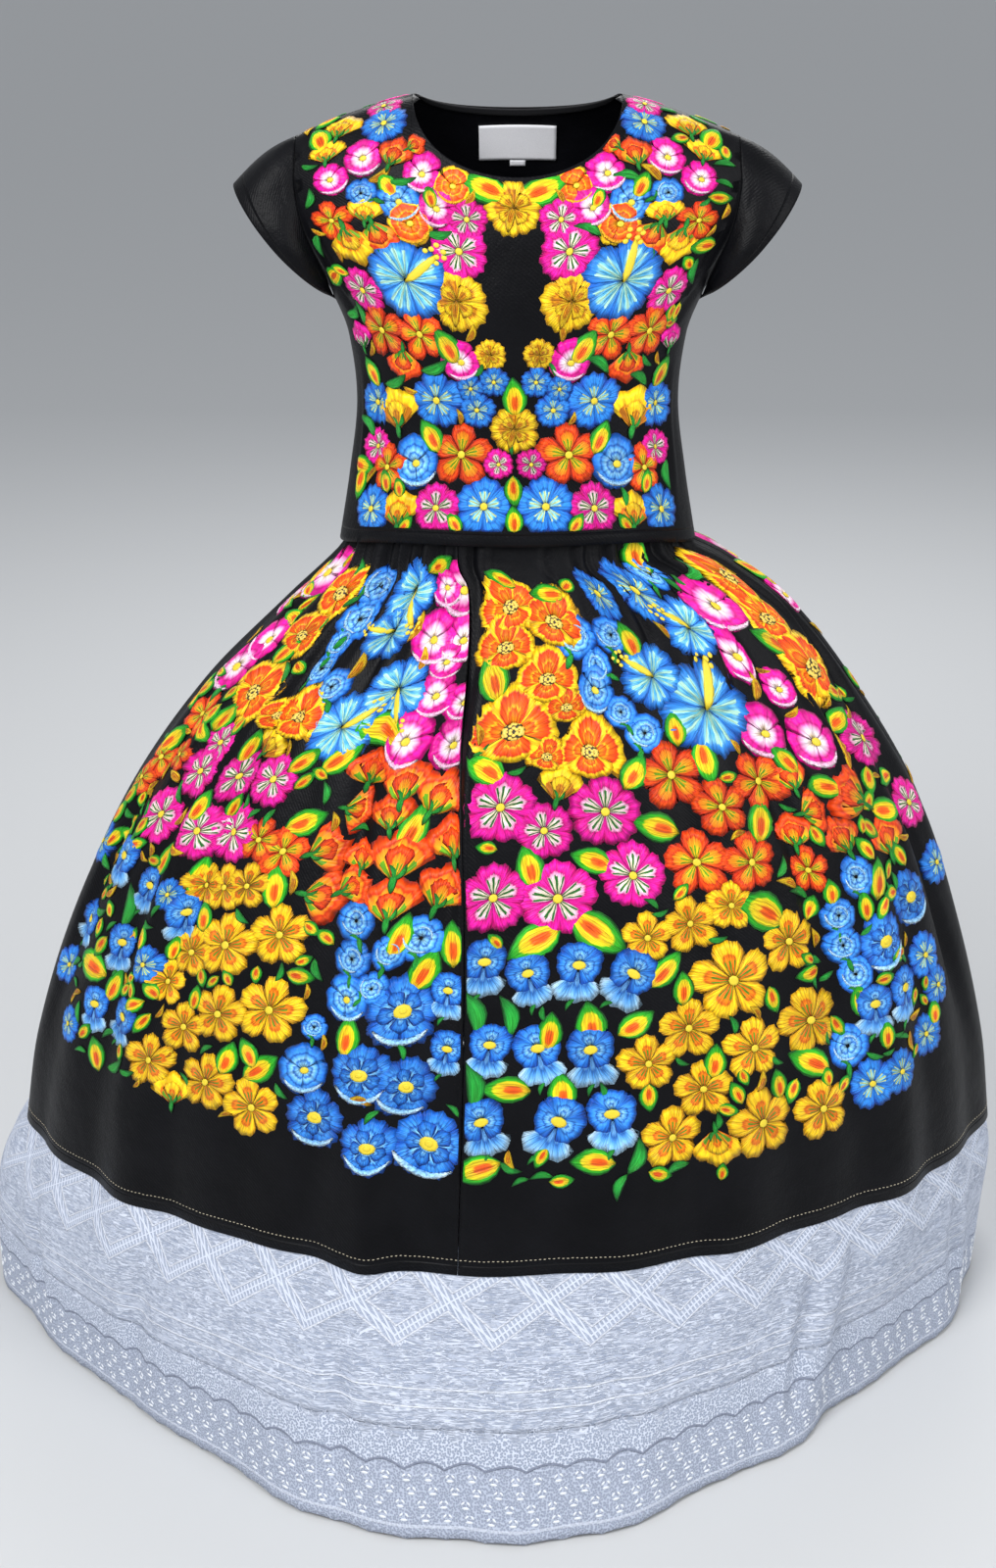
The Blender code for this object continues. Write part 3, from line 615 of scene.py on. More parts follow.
def makeSeedHead():
    # the dark dotted middle of the large cup flowers
    made, tree, shader = startMaterial("thread seed head", (0.75, 0.55, 0.08), 0.5)
    parts = addNode(tree, "Attribute", attribute_name="stitch").outputs["Vector"]
    dots = addNode(tree, "TexVoronoi", {"Vector": parts, "Scale": 3.4}, voronoi_dimensions="2D")
    colour = rampNode(tree, dots.outputs["Distance"], (
        (0.0, (0.88, 0.72, 0.16)), (0.42, (0.84, 0.56, 0.06)),
        (0.50, (0.04, 0.03, 0.01)), (1.0, (0.02, 0.015, 0.005))))
    tree.links.new(colour, shader.inputs["Base Color"])
    bumpNode(tree, shader, dots.outputs["Distance"], -0.0006)
    return made


threads["seeds"] = makeSeedHead()
threads["knot"] = makePlain("thread yellow knot", (0.86, 0.66, 0.03), 0.5, 900)
threadOrder = list(threads)
print("threads dyed:", len(threadOrder))

blackSatin = makeSatin("black satin cotton")
blackFacing = makePlain("black facing", (0.006, 0.006, 0.008), 0.75, 700)
whiteLace = makeLace("white lace")
whiteEdging = makeLace("white edging")
labelTape = makePlain("white label tape", (0.92, 0.92, 0.96), 0.55, 1500)
creamThread = makePlain("cream topstitch", (0.62, 0.55, 0.40), 0.5, 1800)
whiteThread = makePlain("white embroidery", (0.88, 0.91, 0.96), 0.45, 1500)
print("cloth dyed")


def meshFrom(name, sewn):
    mesh = bpy.data.meshes.new(name)
    sewn.to_mesh(mesh)
    sewn.free()
    return mesh


def putInScene(name, data):
    made = bpy.data.objects.new(name, data)
    bpy.context.scene.collection.objects.link(made)
    return made


def finishPiece(name, mesh, materials, wall=0.0):
    mesh.shade_smooth()
    for material in materials:
        mesh.materials.append(material)
    piece = putInScene(name, mesh)
    if wall:
        thickness = piece.modifiers.new("wall", "SOLIDIFY")
        thickness.thickness = wall
        thickness.offset = -1
        thickness.use_even_offset = True
    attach(piece, "root")
    return piece


def sewCloth(name, points, flat, wall, material, closed=False):
    # lays a grid on rows of points, outer face first, with its flat pattern in metres
    rows, columns = points.shape[0] - 1, points.shape[1] - 1
    panel = bmesh.new()
    bmesh.ops.create_grid(panel, x_segments=columns, y_segments=rows, size=1)
    pattern = panel.loops.layers.uv.new("cloth")

    def gridPlace(vert):
        return round((1 - vert.co.y) / 2 * rows), round((vert.co.x + 1) / 2 * columns)

    for face in panel.faces:
        for loop in face.loops:
            loop[pattern].uv = flat[gridPlace(loop.vert)]
    for vert in panel.verts:
        vert.co = points[gridPlace(vert)]
    if closed:
        bmesh.ops.remove_doubles(panel, verts=panel.verts, dist=0.00003)
    return finishPiece(name, meshFrom(name, panel), [material], wall)


def patternFor(across, down):
    return np.stack(np.broadcast_arrays(across, down), -1)


def sewBlouse():
    pieces = []
    neck, shoulder = shoulderAcross(blouse["neck"]), shoulderAcross(blouse["shoulder"])
    edgeTurn = np.radians(np.linspace(0, 90, blouse["neckSteps"], endpoint=False))
    armhole = np.radians(90 * np.linspace(0, 1, blouse["armholeSteps"] + 1) ** 1.5)
    limit = 1 - blouse["ridgeGap"] / blouse["sideDepth"]
    share = (np.linspace(0, 1, blouse["rows"] + 1) ** 1.3)[:, None]
    for name, side in (("blouse_front_cloth", -1), ("blouse_back_cloth", 1)):
        deepest = blouse["frontNeck"] if side < 0 else blouse["backNeck"]
        across = np.concatenate([
            neck * np.sin(edgeTurn),
            np.linspace(neck, shoulder, blouse["shoulderSteps"], endpoint=False),
            1 - (1 - shoulder) * np.cos(armhole),
        ])
        start = np.concatenate([
            deepest * np.cos(edgeTurn) ** blouse["neckCurve"],
            np.zeros(blouse["shoulderSteps"]), blouse["underarm"] * np.sin(armhole) ** (2 / 3),
        ])
        across = np.concatenate([-across[:0:-1], across]) * -side
        start = np.maximum(np.concatenate([start[:0:-1], start]), blouse["ridgeGap"])
        across = np.clip(across, -limit, limit)
        along = start + (blouse["length"] - start) * share
        points = blousePoint(np.broadcast_to(across, along.shape), along, side)
        flat = patternFor(across * blouse["halfPattern"], blouse["length"] - along)
        pieces.append(sewCloth(name, points, flat, cloth["wall"], blackSatin))
    return pieces


sleeve = {
    "tip": (0.301, 0.0, -0.090), "low": (0.200, 0.0, -0.207), "depth": 0.056, "bow": 0.006,
    "round": 0.007, "clear": 0.0007, "girth": 0.42, "length": 0.075, "columns": 80, "rows": 29,
}
# Creases of a sleeve: turn from its top, start and end as shares, width in degrees, height
sleeveCreases = (
    (58, 0.0, 0.9, 22, -0.0030), (95, 0.0, 1.1, 18, 0.0022), (128, -0.1, 0.8, 20, -0.0026),
    (-62, 0.0, 0.9, 22, -0.0030), (-100, 0.0, 1.1, 20, 0.0020), (12, 0.1, 1.0, 16, -0.0012),
)


def sleevePoint(turn, share, hand):
    # once round the sleeve, 0 at the shoulder, forwards and down to 180 at the underarm
    turn = turn % 360
    forward = turn <= 180
    shoulder = shoulderAcross(blouse["shoulder"])
    edge = np.radians(90 * (1 - np.abs(turn - 180) / 180) ** 1.5)
    across = 1 - (1 - shoulder) * np.cos(edge)
    along = blouse["underarm"] * np.sin(edge) ** (2 / 3)
    front, back = bodyPoint(across, along, -1), bodyPoint(across, along, 1)
    start = np.where(forward[..., None], front, back)
    angle = np.radians(turn)
    down = (1 - np.cos(angle)) / 2
    run, fall = sleeve["low"][0] - sleeve["tip"][0], sleeve["low"][2] - sleeve["tip"][2]
    bow = sleeve["bow"] * np.sin(angle) ** 2 / math.hypot(run, fall)
    end = np.stack([
        sleeve["tip"][0] + run * down - bow * fall, -sleeve["depth"] * np.sin(angle),
        sleeve["tip"][2] + fall * down + bow * run,
    ], -1)
    clear = sleeve["clear"] / np.linalg.norm(end - start, axis=-1)
    share = clear + (1 - clear) * share
    points = start + (end - start) * share[..., None]
    push = sleeve["round"] * np.sin(np.pi * share)
    for crest, begin, finish, width, height in sleeveCreases:
        fade = np.sin(np.pi * shareBetween(share, begin, finish)) * np.minimum(share * 4, 1) ** 2
        push = push + height * fade * swell(turnFrom(turn, crest), width)
    points[..., 1] -= push * np.sin(angle)
    points[..., 2] += push * np.maximum(np.cos(angle), 0)
    points[..., 0] *= hand
    return points


def sewSleeves():
    pieces = []
    share = np.linspace(0, 1, sleeve["rows"] + 1)[:, None]
    for name, hand in (("sleeve_left_cloth", -1), ("sleeve_right_cloth", 1)):
        turn = -hand * np.linspace(0, 360, sleeve["columns"] + 1)[None, :]
        turn, down = np.broadcast_arrays(turn, share)
        points = sleevePoint(turn, down, hand)
        flat = patternFor(np.abs(turn) / 360 * sleeve["girth"], (1 - down) * sleeve["length"])
        pieces.append(sewCloth(name, points, flat, cloth["wall"], blackSatin, True))
    return pieces


# the skirt's seams: angle at the top and at the foot
seams = ((-90, -90), (-25, -5), (90, 90), (180, 180), (270, 270))
skirtPanels = ("skirt_front_left", "skirt_front_right", "skirt_back_right", "skirt_back_left")
skirt = {"rows": 88, "columnsEachDegree": 1.35, "girth": 0.46, "band": 0.038, "bandGirth": 0.13}


def seamAngle(seam, along):
    top, foot = seams[seam]
    return foot + (top - foot) * (1 - along / cloth["skirtLength"]) ** 3


def seamMargin(along):
    return np.degrees(cloth["seamMargin"] / readSmoothly(skirtRings, "front", along))


def sewSkirt():
    pieces = []
    top, rows = cloth["seamGap"], skirt["rows"]
    down = (np.arange(rows + 1) / rows) ** 1.15
    down = (top + (cloth["skirtLength"] - top) * down)[:, None]
    for panel, name in enumerate(skirtPanels):
        first = seamAngle(panel, down) + seamMargin(down)
        last = seamAngle(panel + 1, down) - seamMargin(down)
        columns = int(round((last - first).mean() * skirt["columnsEachDegree"]))
        angle = first + (last - first) * np.linspace(0, 1, columns + 1)
        along = np.broadcast_to(down, angle.shape)
        flat = patternFor(np.radians(angle) * skirt["girth"], cloth["skirtLength"] - along)
        points = skirtPoint(angle, along)
        pieces.append(sewCloth(name + "_cloth", points, flat, cloth["wall"], blackSatin))
    turn, height = np.linspace(0, 360, 97)[None, :], np.linspace(1, 0, 5)[:, None]
    angle, height = np.broadcast_arrays(turn, skirt["band"] * height)
    points = ringPoint(skirtRings, (), angle, np.zeros(angle.shape))
    points[..., 2] += top + height
    flat = patternFor(np.radians(angle) * skirt["bandGirth"], height)
    pieces.append(sewCloth("waistband_cloth", points, flat, cloth["wall"], blackSatin, True))
    return pieces


ripples = {
    "scallop": 0.0032, "scallopDepth": 0.010, "tuck": 0.0012, "tuckReach": 0.012, "wave": 0.0030,
    "waveFrom": 0.05, "waveTo": 0.25,
}


def hemScallop(angle, along):
    # the edging's foot is cut in small scallops
    length = cloth["laceLength"]
    foot = shareBetween(along, length - ripples["scallopDepth"], length)
    return ripples["scallop"] * foot * np.abs(np.sin(np.radians(angle) * 46)) ** 0.7


def laceWave(angle, along):
    # soft ripples, and a line of small tucks along the scalloped cord
    turn = np.radians(angle)
    seam = np.exp(-((along - cloth["cordAlong"]) / ripples["tuckReach"]) ** 2)
    tucks = ripples["tuck"] * np.sin(turn * 61 + 3 * np.sin(turn * 5)) * seam
    below = shareBetween(along, ripples["waveFrom"], ripples["waveTo"])
    return tucks + below * ripples["wave"] * np.sin(turn * 23 + 2 * np.sin(turn * 4))


def laceSurface(angle, along):
    return pushOut(lacePoint(angle, along), laceWave(angle, along), angle)


laceGrid = {"flounceRows": 30, "flounceColumns": 260, "edgingRows": 13, "edgingColumns": 690,
            "girth": 0.60}


def sewLace():
    pieces = []
    start, end = cloth["edgingStart"], cloth["laceLength"]
    flounce = np.linspace(cloth["tuck"], start, laceGrid["flounceRows"])
    flounce = np.concatenate([[0.0], flounce])
    edging = np.linspace(start + cloth["seamGap"], end, laceGrid["edgingRows"])
    margin = float(seamMargin(np.array(cloth["skirtLength"])))
    for side, first in (("front", -90), ("back", 90)):
        for name, rows, columns, material in (
            ("flounce_", flounce, laceGrid["flounceColumns"], whiteLace),
            ("edging_", edging, laceGrid["edgingColumns"], whiteEdging),
        ):
            angle = np.linspace(first + margin, first + 180 - margin, columns + 1)[None, :]
            angle, along = np.broadcast_arrays(angle, rows[:, None])
            points = laceSurface(angle, along)
            points[..., 2] += hemScallop(angle, along)
            flat = patternFor(np.radians(angle) * laceGrid["girth"], end - along)
            name = name + side + "_cloth"
            pieces.append(sewCloth(name, points, flat, cloth["laceWall"], material))
    return pieces


inside = {
    "clear": 0.0008, "facingDepth": 0.009, "facingReach": 0.97, "labelWidth": 0.084,
    "labelHeight": 0.042, "labelAlong": 0.092, "tabWidth": 0.017, "tabHeight": 0.007,
}


def insideBack(halfWidth, share, along, step):
    # a point of what is sewn inside the back of the blouse
    widest = readSmoothly(bodyRings, "halfWidth", along)
    across = np.degrees(np.arcsin(halfWidth * share / widest)) / 90
    points = bodyPoint(across, along, 1)
    below, above = bodyPoint(across, along + step, 1), bodyPoint(across, along - step, 1)
    slope = np.arctan2(below[..., 1] - above[..., 1], above[..., 2] - below[..., 2])
    lift = cloth["wall"] + inside["clear"]
    points[..., 1] -= lift * np.cos(slope)
    points[..., 2] -= lift * np.sin(slope)
    return points


def sewNeckPieces():
    share = np.linspace(1, -1, 41)[None, :]
    half, deep = blouse["neck"] * inside["facingReach"], inside["facingDepth"]
    gap = cloth["seamGap"]
    turned = np.arcsin(np.minimum(np.abs(share), 1))
    start = np.maximum(blouse["backNeck"] * np.cos(turned) ** blouse["neckCurve"], gap)
    along = start + gap + deep * np.linspace(0, 1, 5)[:, None]
    share = np.broadcast_to(share, along.shape)
    facing = insideBack(half, share, along, deep)
    pieces = [sewCloth("neck_facing_cloth", facing, patternFor(share * half, along),
                       cloth["trimWall"], blackFacing)]
    top, tall = inside["labelAlong"], inside["labelHeight"]
    for name, half, top, tall, step, columns, rows in (
        ("neck_label_tape", inside["labelWidth"] / 2, top, tall, tall / 3, 24, 12),
        ("size_tab_tape", inside["tabWidth"] / 2, top + tall + gap,
         inside["tabHeight"], inside["tabHeight"], 6, 3),
    ):
        share, along = np.broadcast_arrays(np.linspace(1, -1, columns + 1)[None, :],
                                           top + tall * np.linspace(0, 1, rows + 1)[:, None])
        points, flat = insideBack(half, share, along, step), patternFor(share * half, along)
        pieces.append(sewCloth(name, points, flat, cloth["trimWall"], labelTape))
    return pieces


blousePieces = sewBlouse()
sleevePieces = sewSleeves()
skirtPieces = sewSkirt()
lacePieces = sewLace()
neckPieces = sewNeckPieces()
print("cloth sewn")


rimDip = 0.16  # how far a petal's rim goes into the cloth, against its crest
sole = -0.22  # where a petal's underside lies, against its crest


def closePetal(piece):
    # lines the petal with an underside that keeps to the cloth, sewn to its rim
    rim = {vert for edge in piece.edges if edge.is_boundary for vert in edge.verts}
    kept = [vert.co.copy() for vert in piece.verts if vert in rim]
    lining = bmesh.ops.duplicate(piece, geom=piece.faces[:])["geom"]
    under = [part for part in lining if isinstance(part, bmesh.types.BMVert)]
    faces = [part for part in lining if isinstance(part, bmesh.types.BMFace)]
    bmesh.ops.reverse_faces(piece, faces=faces)
    for vert in under:
        if not any((vert.co - place).length < 0.00001 for place in kept):
            vert.co.z = sole
    bmesh.ops.remove_doubles(piece, verts=piece.verts, dist=0.0001)


def cutPetal(name, spread, columns, rows, shape, heart=0.0, curl=1.0):
    # a grid reshaped into a raised petal; shape gives x, y and lift from across and down,
    # heart is how far down its bands of colour have their middle, and curl how far they
    # turn back up its sides
    piece = bmesh.new()
    bmesh.ops.create_grid(piece, x_segments=columns, y_segments=rows, size=1)
    keep = piece.verts.layers.float_vector.new("stitch")
    for vert in piece.verts:
        across, down = vert.co.x, (vert.co.y + 1) / 2
        vert.co = shape(across * spread, across, down)
        vert[keep] = (across * curl, abs(down - heart) / (1 - heart), 0)
    closePetal(piece)
    return meshFrom(name, piece)


def riseAt(across, down):
    edge = (1 - across**4) * (1 - (2 * down - 1) ** 6)
    return max(edge, 0) ** 0.6 - rimDip


def fanRise(across, down):
    # a fan's sides stay above the cloth, where they meet the next petal
    return (1 - down**6) ** 0.6 * (1 - 0.62 * across**6) * (0.72 + 0.28 * down) - rimDip


def fanShape(lobes, scallop, flat=0.16, start=0.05):
    # a wedge of a round flower, scalloped and a little ragged along its outer edge
    def shape(turned, across, down):
        reach = 1 - flat * across**4 + scallop * math.cos(lobes * math.pi * across)
        reach += 0.03 * math.sin(37.0 * across + 1.3) * down
        out = start + (reach - start) * down
        angle = math.radians(turned)
        return out * math.sin(angle), out * math.cos(angle), fanRise(across, down)
    return shape


def teardropShape(width, lean=0.0, blunt=0.5):
    # from a narrow base at the origin to a rounded or pointed tip at y = 1
    def shape(turned, across, down):
        wide = width * math.sin(math.pi * min(down**0.85 * 0.96 + 0.02, 1)) ** blunt
        x = wide * across + lean * math.sin(math.pi * down)
        y = down + 0.02 * math.sin(19.0 * across)
        return x, y, riseAt(across, down)
    return shape


def lipShape(inner, tall):
    # a crescent round the lower half of a bowl-shaped flower
    def shape(turned, across, down):
        angle = math.radians(turned)
        wide = (1 - inner) * (1 - 0.75 * across**2)
        out = 1 - wide * (1 - down)
        return out * math.sin(angle), out * math.cos(angle) * tall, riseAt(across, down)
    return shape


templates = {
    "fan5": cutPetal("fan5", 42, 8, 4, fanShape(3, 0.03)),
    "lobe5": cutPetal("lobe5", 37, 8, 4, fanShape(1, 0.05, 0.20)),
    "fan6": cutPetal("fan6", 32, 6, 4, fanShape(2, 0.04)),
    "wideFan": cutPetal("wideFan", 60, 11, 4, fanShape(4, 0.035, 0.12, 0.12)),
    "discFan": cutPetal("discFan", 63, 11, 4, fanShape(3, 0.03, 0.03, 0.08), 0.0, 0.3),
    "cupFan": cutPetal("cupFan", 60, 10, 4, fanShape(3, 0.055, 0.06, 0.10), 0.0, 0.55),
    "leaf": cutPetal("leaf", 1, 6, 6, teardropShape(0.33, 0.03, 0.9), 0.36),
    "curvedLeaf": cutPetal("curvedLeaf", 1, 4, 6, teardropShape(0.20, 0.16, 0.9)),
    "slimPetal": cutPetal("slimPetal", 1, 4, 5, teardropShape(0.17, 0.03, 0.6)),
    "lip": cutPetal("lip", 66, 8, 2, lipShape(0.74, 0.95)),
}


def turnBead(name, columns, rows, shape):
    # a small round stitch; shape gives its place and its measure on the thread
    bead = bmesh.new()
    bmesh.ops.create_uvsphere(bead, u_segments=columns, v_segments=rows, radius=1)
    keep = bead.verts.layers.float_vector.new("stitch")
    for vert in bead.verts:
        vert.co.z, vert[keep] = shape(*vert.co)
    return meshFrom(name, bead)


def knobShape(x, y, z):
    return z * 0.75 + 0.2, (x * 0.9, abs(y) * 0.9, 0)


def seedShape(x, y, z):
    return z, (x, (y + 1) / 2, 0)


templates["knob"] = turnBead("knob", 9, 5, knobShape)
templates["seed"] = turnBead("seed", 6, 3, seedShape)


def readTemplate(mesh):
    places = np.empty(len(mesh.vertices) * 3)
    mesh.vertices.foreach_get("co", places)
    stitch = np.empty(len(mesh.vertices) * 3)
    mesh.attributes["stitch"].data.foreach_get("vector", stitch)
    return places.reshape(-1, 3), stitch.reshape(-1, 3), len(mesh.polygons)


templateData = {name: readTemplate(mesh) for name, mesh in templates.items()}

# Each part of a motif: template, thread, where its base sits in radii, turn, size across,
# size down, height of its crest and height of its base, both in millimetres.


def ring(template, thread, count, size, first=0, rise=1.2, base=0.0, wide=1.0):
    return [(template, thread, 0, 0, first + 360 / count * step, size * wide, size, rise, base)
            for step in range(count)]


def rosette(colour):
    outer = ring("lobe5" if colour in ("yellow", "orange") else "fan5", colour, 5, 1.0, 0, 1.4)
    return outer + [("knob", "knot", 0, 0, 0, 0.13, 0.13, 1.0, 1.1)]


def bowl(colour):
    thread, lip = {"magenta": ("bowlPink", "lipPink"), "orange": ("poppy", "lipOrange"),
                   "blue": ("bellBlue", "lipBlue")}[colour]
    back = [("discFan", thread, 0, -0.04, -120, 1.0, 1.0, 1.4, 0),
            ("discFan", thread, 0, -0.04, 120, 1.0, 1.0, 1.4, 0),
            ("discFan", thread, 0, -0.04, 0, 0.98, 1.16, 1.4, 0.3)]
    return back + [("lip", lip, 0.04, -0.10, 176, 0.88, 0.90, 1.1, 0.8),
                   ("knob", "knot", 0.05, -0.06, 0, 0.17, 0.15, 1.0, 1.0)]


def roundBud():
    # a half-open bud, its folds shown as light crescents
    ball = [("discFan", "bellBlue", 0, 0.06, turn, 0.96, 0.98, 1.4, 0) for turn in (0, 120, 240)]
    return ball + [("lip", "lipBlue", -0.06, 0.08, 146, 0.66, 0.66, 1.0, 1.0),
                   ("lip", "lipBlue", 0.02, 0.10, -38, 0.42, 0.46, 1.0, 1.0),
                   ("curvedLeaf", "green", 0, -0.80, 60, 0.6, 0.6, 0.9, 0.3),
                   ("slimPetal", "green", 0, -0.66, 180, 0.9, 0.75, 1.0, 0.6)]


def cup(colour):
    if colour == "blue":
        return roundBud()
    lobes = [("cupFan", colour, 0, -0.72, 0, 1.56, 1.78, 1.4, 0.0),
             ("fan6", colour, 0, -0.68, 0, 1.25, 1.22, 1.0, 0.9)]
    return lobes + [("curvedLeaf", "green", 0, -0.62, 28, 0.5, 0.6, 0.9, 1.2),
                    ("curvedLeaf", "green", 0, -0.62, -28, 0.5, 0.6, 0.9, 1.2),
                    ("slimPetal", "green", 0, -0.42, 180, 0.8, 0.70, 1.0, 1.1)]


def poppy(colour):
    return [("wideFan", "poppy", 0.0, -0.24, 68, 1.08, 1.10, 1.4, 0.0),
            ("wideFan", "poppy", 0.0, -0.24, -68, 1.08, 1.10, 1.4, 0.0),
            ("wideFan", "poppy", 0, -0.20, 0, 0.92, 1.26, 1.4, 0.3),
            ("wideFan", "poppy", 0, -0.14, 180, 1.02, 0.74, 1.4, 0.7),
            ("knob", "seeds", 0, -0.16, 0, 0.30, 0.23, 1.2, 1.2)]


def hibiscus(colour):
    dots = [("knob", "knot", x, y, 0, 0.065, 0.065, 0.9, 0.8)
            for x, y in ((0.30, 1.02), (0.46, 0.90), (0.54, 1.08), (0.36, 1.16), (0.60, 0.96),
                         (0.20, 0.92), (0.50, 0.76))]
    return (ring("fan5", "hibiscus", 5, 1.0, 36, 1.5, 0.4)
            + [("slimPetal", "knot", 0, -0.06, -24, 0.70, 1.10, 1.3, 1.2)] + dots)


def bell(colour):
    tube = [("fan6", "tube", 0, 0.12, turn, 1.0, 1.14, 1.2, 0.0) for turn in (152, 208, 180)]
    head = [("wideFan", "bellBlue", 0, 0.36, turn, 0.96, 0.80, 1.4, 0.5)
            for turn in (-108, 0, 108)]
    return tube + head + [("knob", "knot", 0, 0.30, 0, 0.26, 0.17, 1.1, 1.5),
                          ("curvedLeaf", "green", 0, -0.9, 150, 0.45, 0.5, 0.9, 0.3)]


def peony(colour):
    outer = ring("fan5", "bellBlue", 5, 1.02, 0, 1.3)
    inner = ring("fan6", "bellBlue", 5, 0.64, 30, 1.1, 0.8)
    lips = [("lip", "lipBlue", 0, -0.16, 180, 0.86, 0.84, 1.1, 1.2),
            ("knob", "knot", 0, 0.0, 0, 0.27, 0.22, 1.0, 1.5),
            ("lip", "bellBlue", 0, 0.0, 180, 0.30, 0.26, 1.0, 1.9),
            ("knob", "knot", 0, 0.02, 0, 0.12, 0.09, 1.0, 2.2)]
    return outer + inner + lips


def rose(colour):
    outer = ring("fan5", "gold", 5, 1.0, 12, 1.4)
    inner = ring("fan6", "gold", 4, 0.60, 40, 1.1, 0.9)
    return outer + inner + [("slimPetal", "gold", 0, 0.05, 164, 0.9, 0.9, 1.1, 1.6)]


def leafMotif(colour):
    if colour == "green":
        return [("curvedLeaf", "green", 0, -1.1, 0, 2.1, 2.3, 1.1, 0.0)]
    return [("leaf", "leaf", 0, -1.25, 0, 2.5, 2.6, 1.3, 0.0)]


def bud(colour):
    return [("curvedLeaf", colour, 0, -1.0, 0, 1.9, 2.1, 1.0, 0.0)]


recipes = {"rosette": rosette, "bowl": bowl, "cup": cup, "poppy": poppy, "hibiscus": hibiscus,
           "bell": bell, "peony": peony, "rose": rose, "leaf": leafMotif, "bud": bud}

# Where the motifs sit on the blouse's left half: kind and thread, then for each its place
# across, its millimetres down the cloth and of size, and its turn in degrees.
blouseMotifs = {
    ("rosette", "magenta"): (
        (-0.353, 29, 36, 0), (-0.135, 174, 40, 0), (-0.167, 206, 54, 8), (-0.568, 250, 45, 0),
        (-0.64, 418, 36, 0), (-0.07, 427, 29, 20), (-0.3, 476, 49, 0),
    ),
    ("rosette", "blue"): (
        (-0.35, 57, 45, 10), (-0.657, 373, 44, 0), (-0.32, 362, 54, 0), (-0.155, 370, 35, 0),
        (-0.177, 347, 27, 0), (-0.088, 339, 29, 0), (-0.12, 472, 57, 0), (-0.617, 481, 47, 0),
    ),
    ("cup", "yellow"): (
        (-0.49, 46, 36, -15), (-0.545, 78, 32, 0), (-0.435, 162, 32, -10),
        (-0.52, 193, 43, 185), (-0.465, 483, 40, 0),
    ),
    ("leaf", "leaf"): (
        (-0.575, 52, 30, 15), (-0.348, 133, 24, 20), (-0.23, 150, 18, 10),
        (-0.085, 142, 36, 70), (-0.26, 304, 29, 30), (-0.345, 402, 27, 30),
        (-0.228, 491, 19, 40), (-0.422, 495, 17, -30), (-0.55, 451, 19, 20),
        (-0.67, 341, 25, 30),
    ),
    ("bowl", "magenta"): (
        (-0.417, 95, 40, 0), (-0.537, 114, 38, 15), (-0.247, 123, 38, -20),
        (-0.215, 161, 38, -30), (-0.213, 318, 39, 10),
    ),
    ("cup", "orange"): (
        (-0.323, 100, 32, -20), (-0.265, 92, 20, -60), (-0.41, 188, 40, 195),
        (-0.46, 323, 35, 175),
    ),
    ("bud", "gold"): (
        (-0.372, 118, 26, -60), (-0.125, 150, 18, -30), (-0.167, 287, 20, -20),
        (-0.228, 379, 15, 20),
    ),
    ("leaf", "green"): (
        (-0.305, 127, 26, -90), (-0.213, 186, 24, -80), (-0.323, 324, 27, -60),
        (-0.522, 344, 25, -60),
    ),
    ("cup", "blue"): (
        (-0.43, 139, 34, 60),
    ),
    ("bowl", "blue"): (
        (-0.323, 152, 42, 20), (-0.407, 429, 48, 10),
    ),
    ("bowl", "orange"): (
        (-0.167, 138, 36, -20), (-0.3, 176, 42, 10),
    ),
    ("rosette", "orange"): (
        (-0.565, 169, 45, 0), (-0.54, 292, 50, 0), (-0.362, 292, 49, 20), (-0.213, 418, 58, 0),
        (-0.547, 437, 45, 0),
    ),
    ("bud", "green"): (
        (-0.427, 211, 16, 0), (-0.145, 326, 16, -30),
    ),
    ("hibiscus", "blue"): (
        (-0.36, 236, 77, -32),
    ),
    ("rose", "gold"): (
        (-0.195, 256, 57, 0), (-0.098, 310, 29, 0),
    ),
    ("cup", "magenta"): (
        (-0.705, 306, 27, 10),
    ),
    ("cup", "gold"): (
        (-0.518, 379, 46, 10),
    ),
}
blouseMiddleMotifs = {
    ("rose", "gold"): (
        (-0.01, 163, 54, 0), (-0.012, 390, 46, 0),
    ),
    ("leaf", "leaf"): (
        (-0.015, 357, 29, 0), (-0.012, 455, 23, 180), (-0.015, 486, 23, 0),
    ),
    ("bud", "green"): (
        (-0.015, 407, 17, 180),
    ),
}
# The back's neck is higher, so these fill the yoke that the front's neck cuts away.
blouseYokeMotifs = {
    ("rosette", "magenta"): (
        (-0.15, 98, 44, 0), (0.13, 96, 44, 20),
    ),
    ("cup", "yellow"): (
        (-0.07, 104, 34, -10),
    ),
    ("rosette", "blue"): (
        (-0.01, 112, 46, 0),
    ),
    ("bowl", "orange"): (
        (0.06, 106, 36, 15),
    ),
    ("leaf", "leaf"): (
        (-0.11, 130, 28, 60), (0.09, 132, 28, -60),
    ),
}
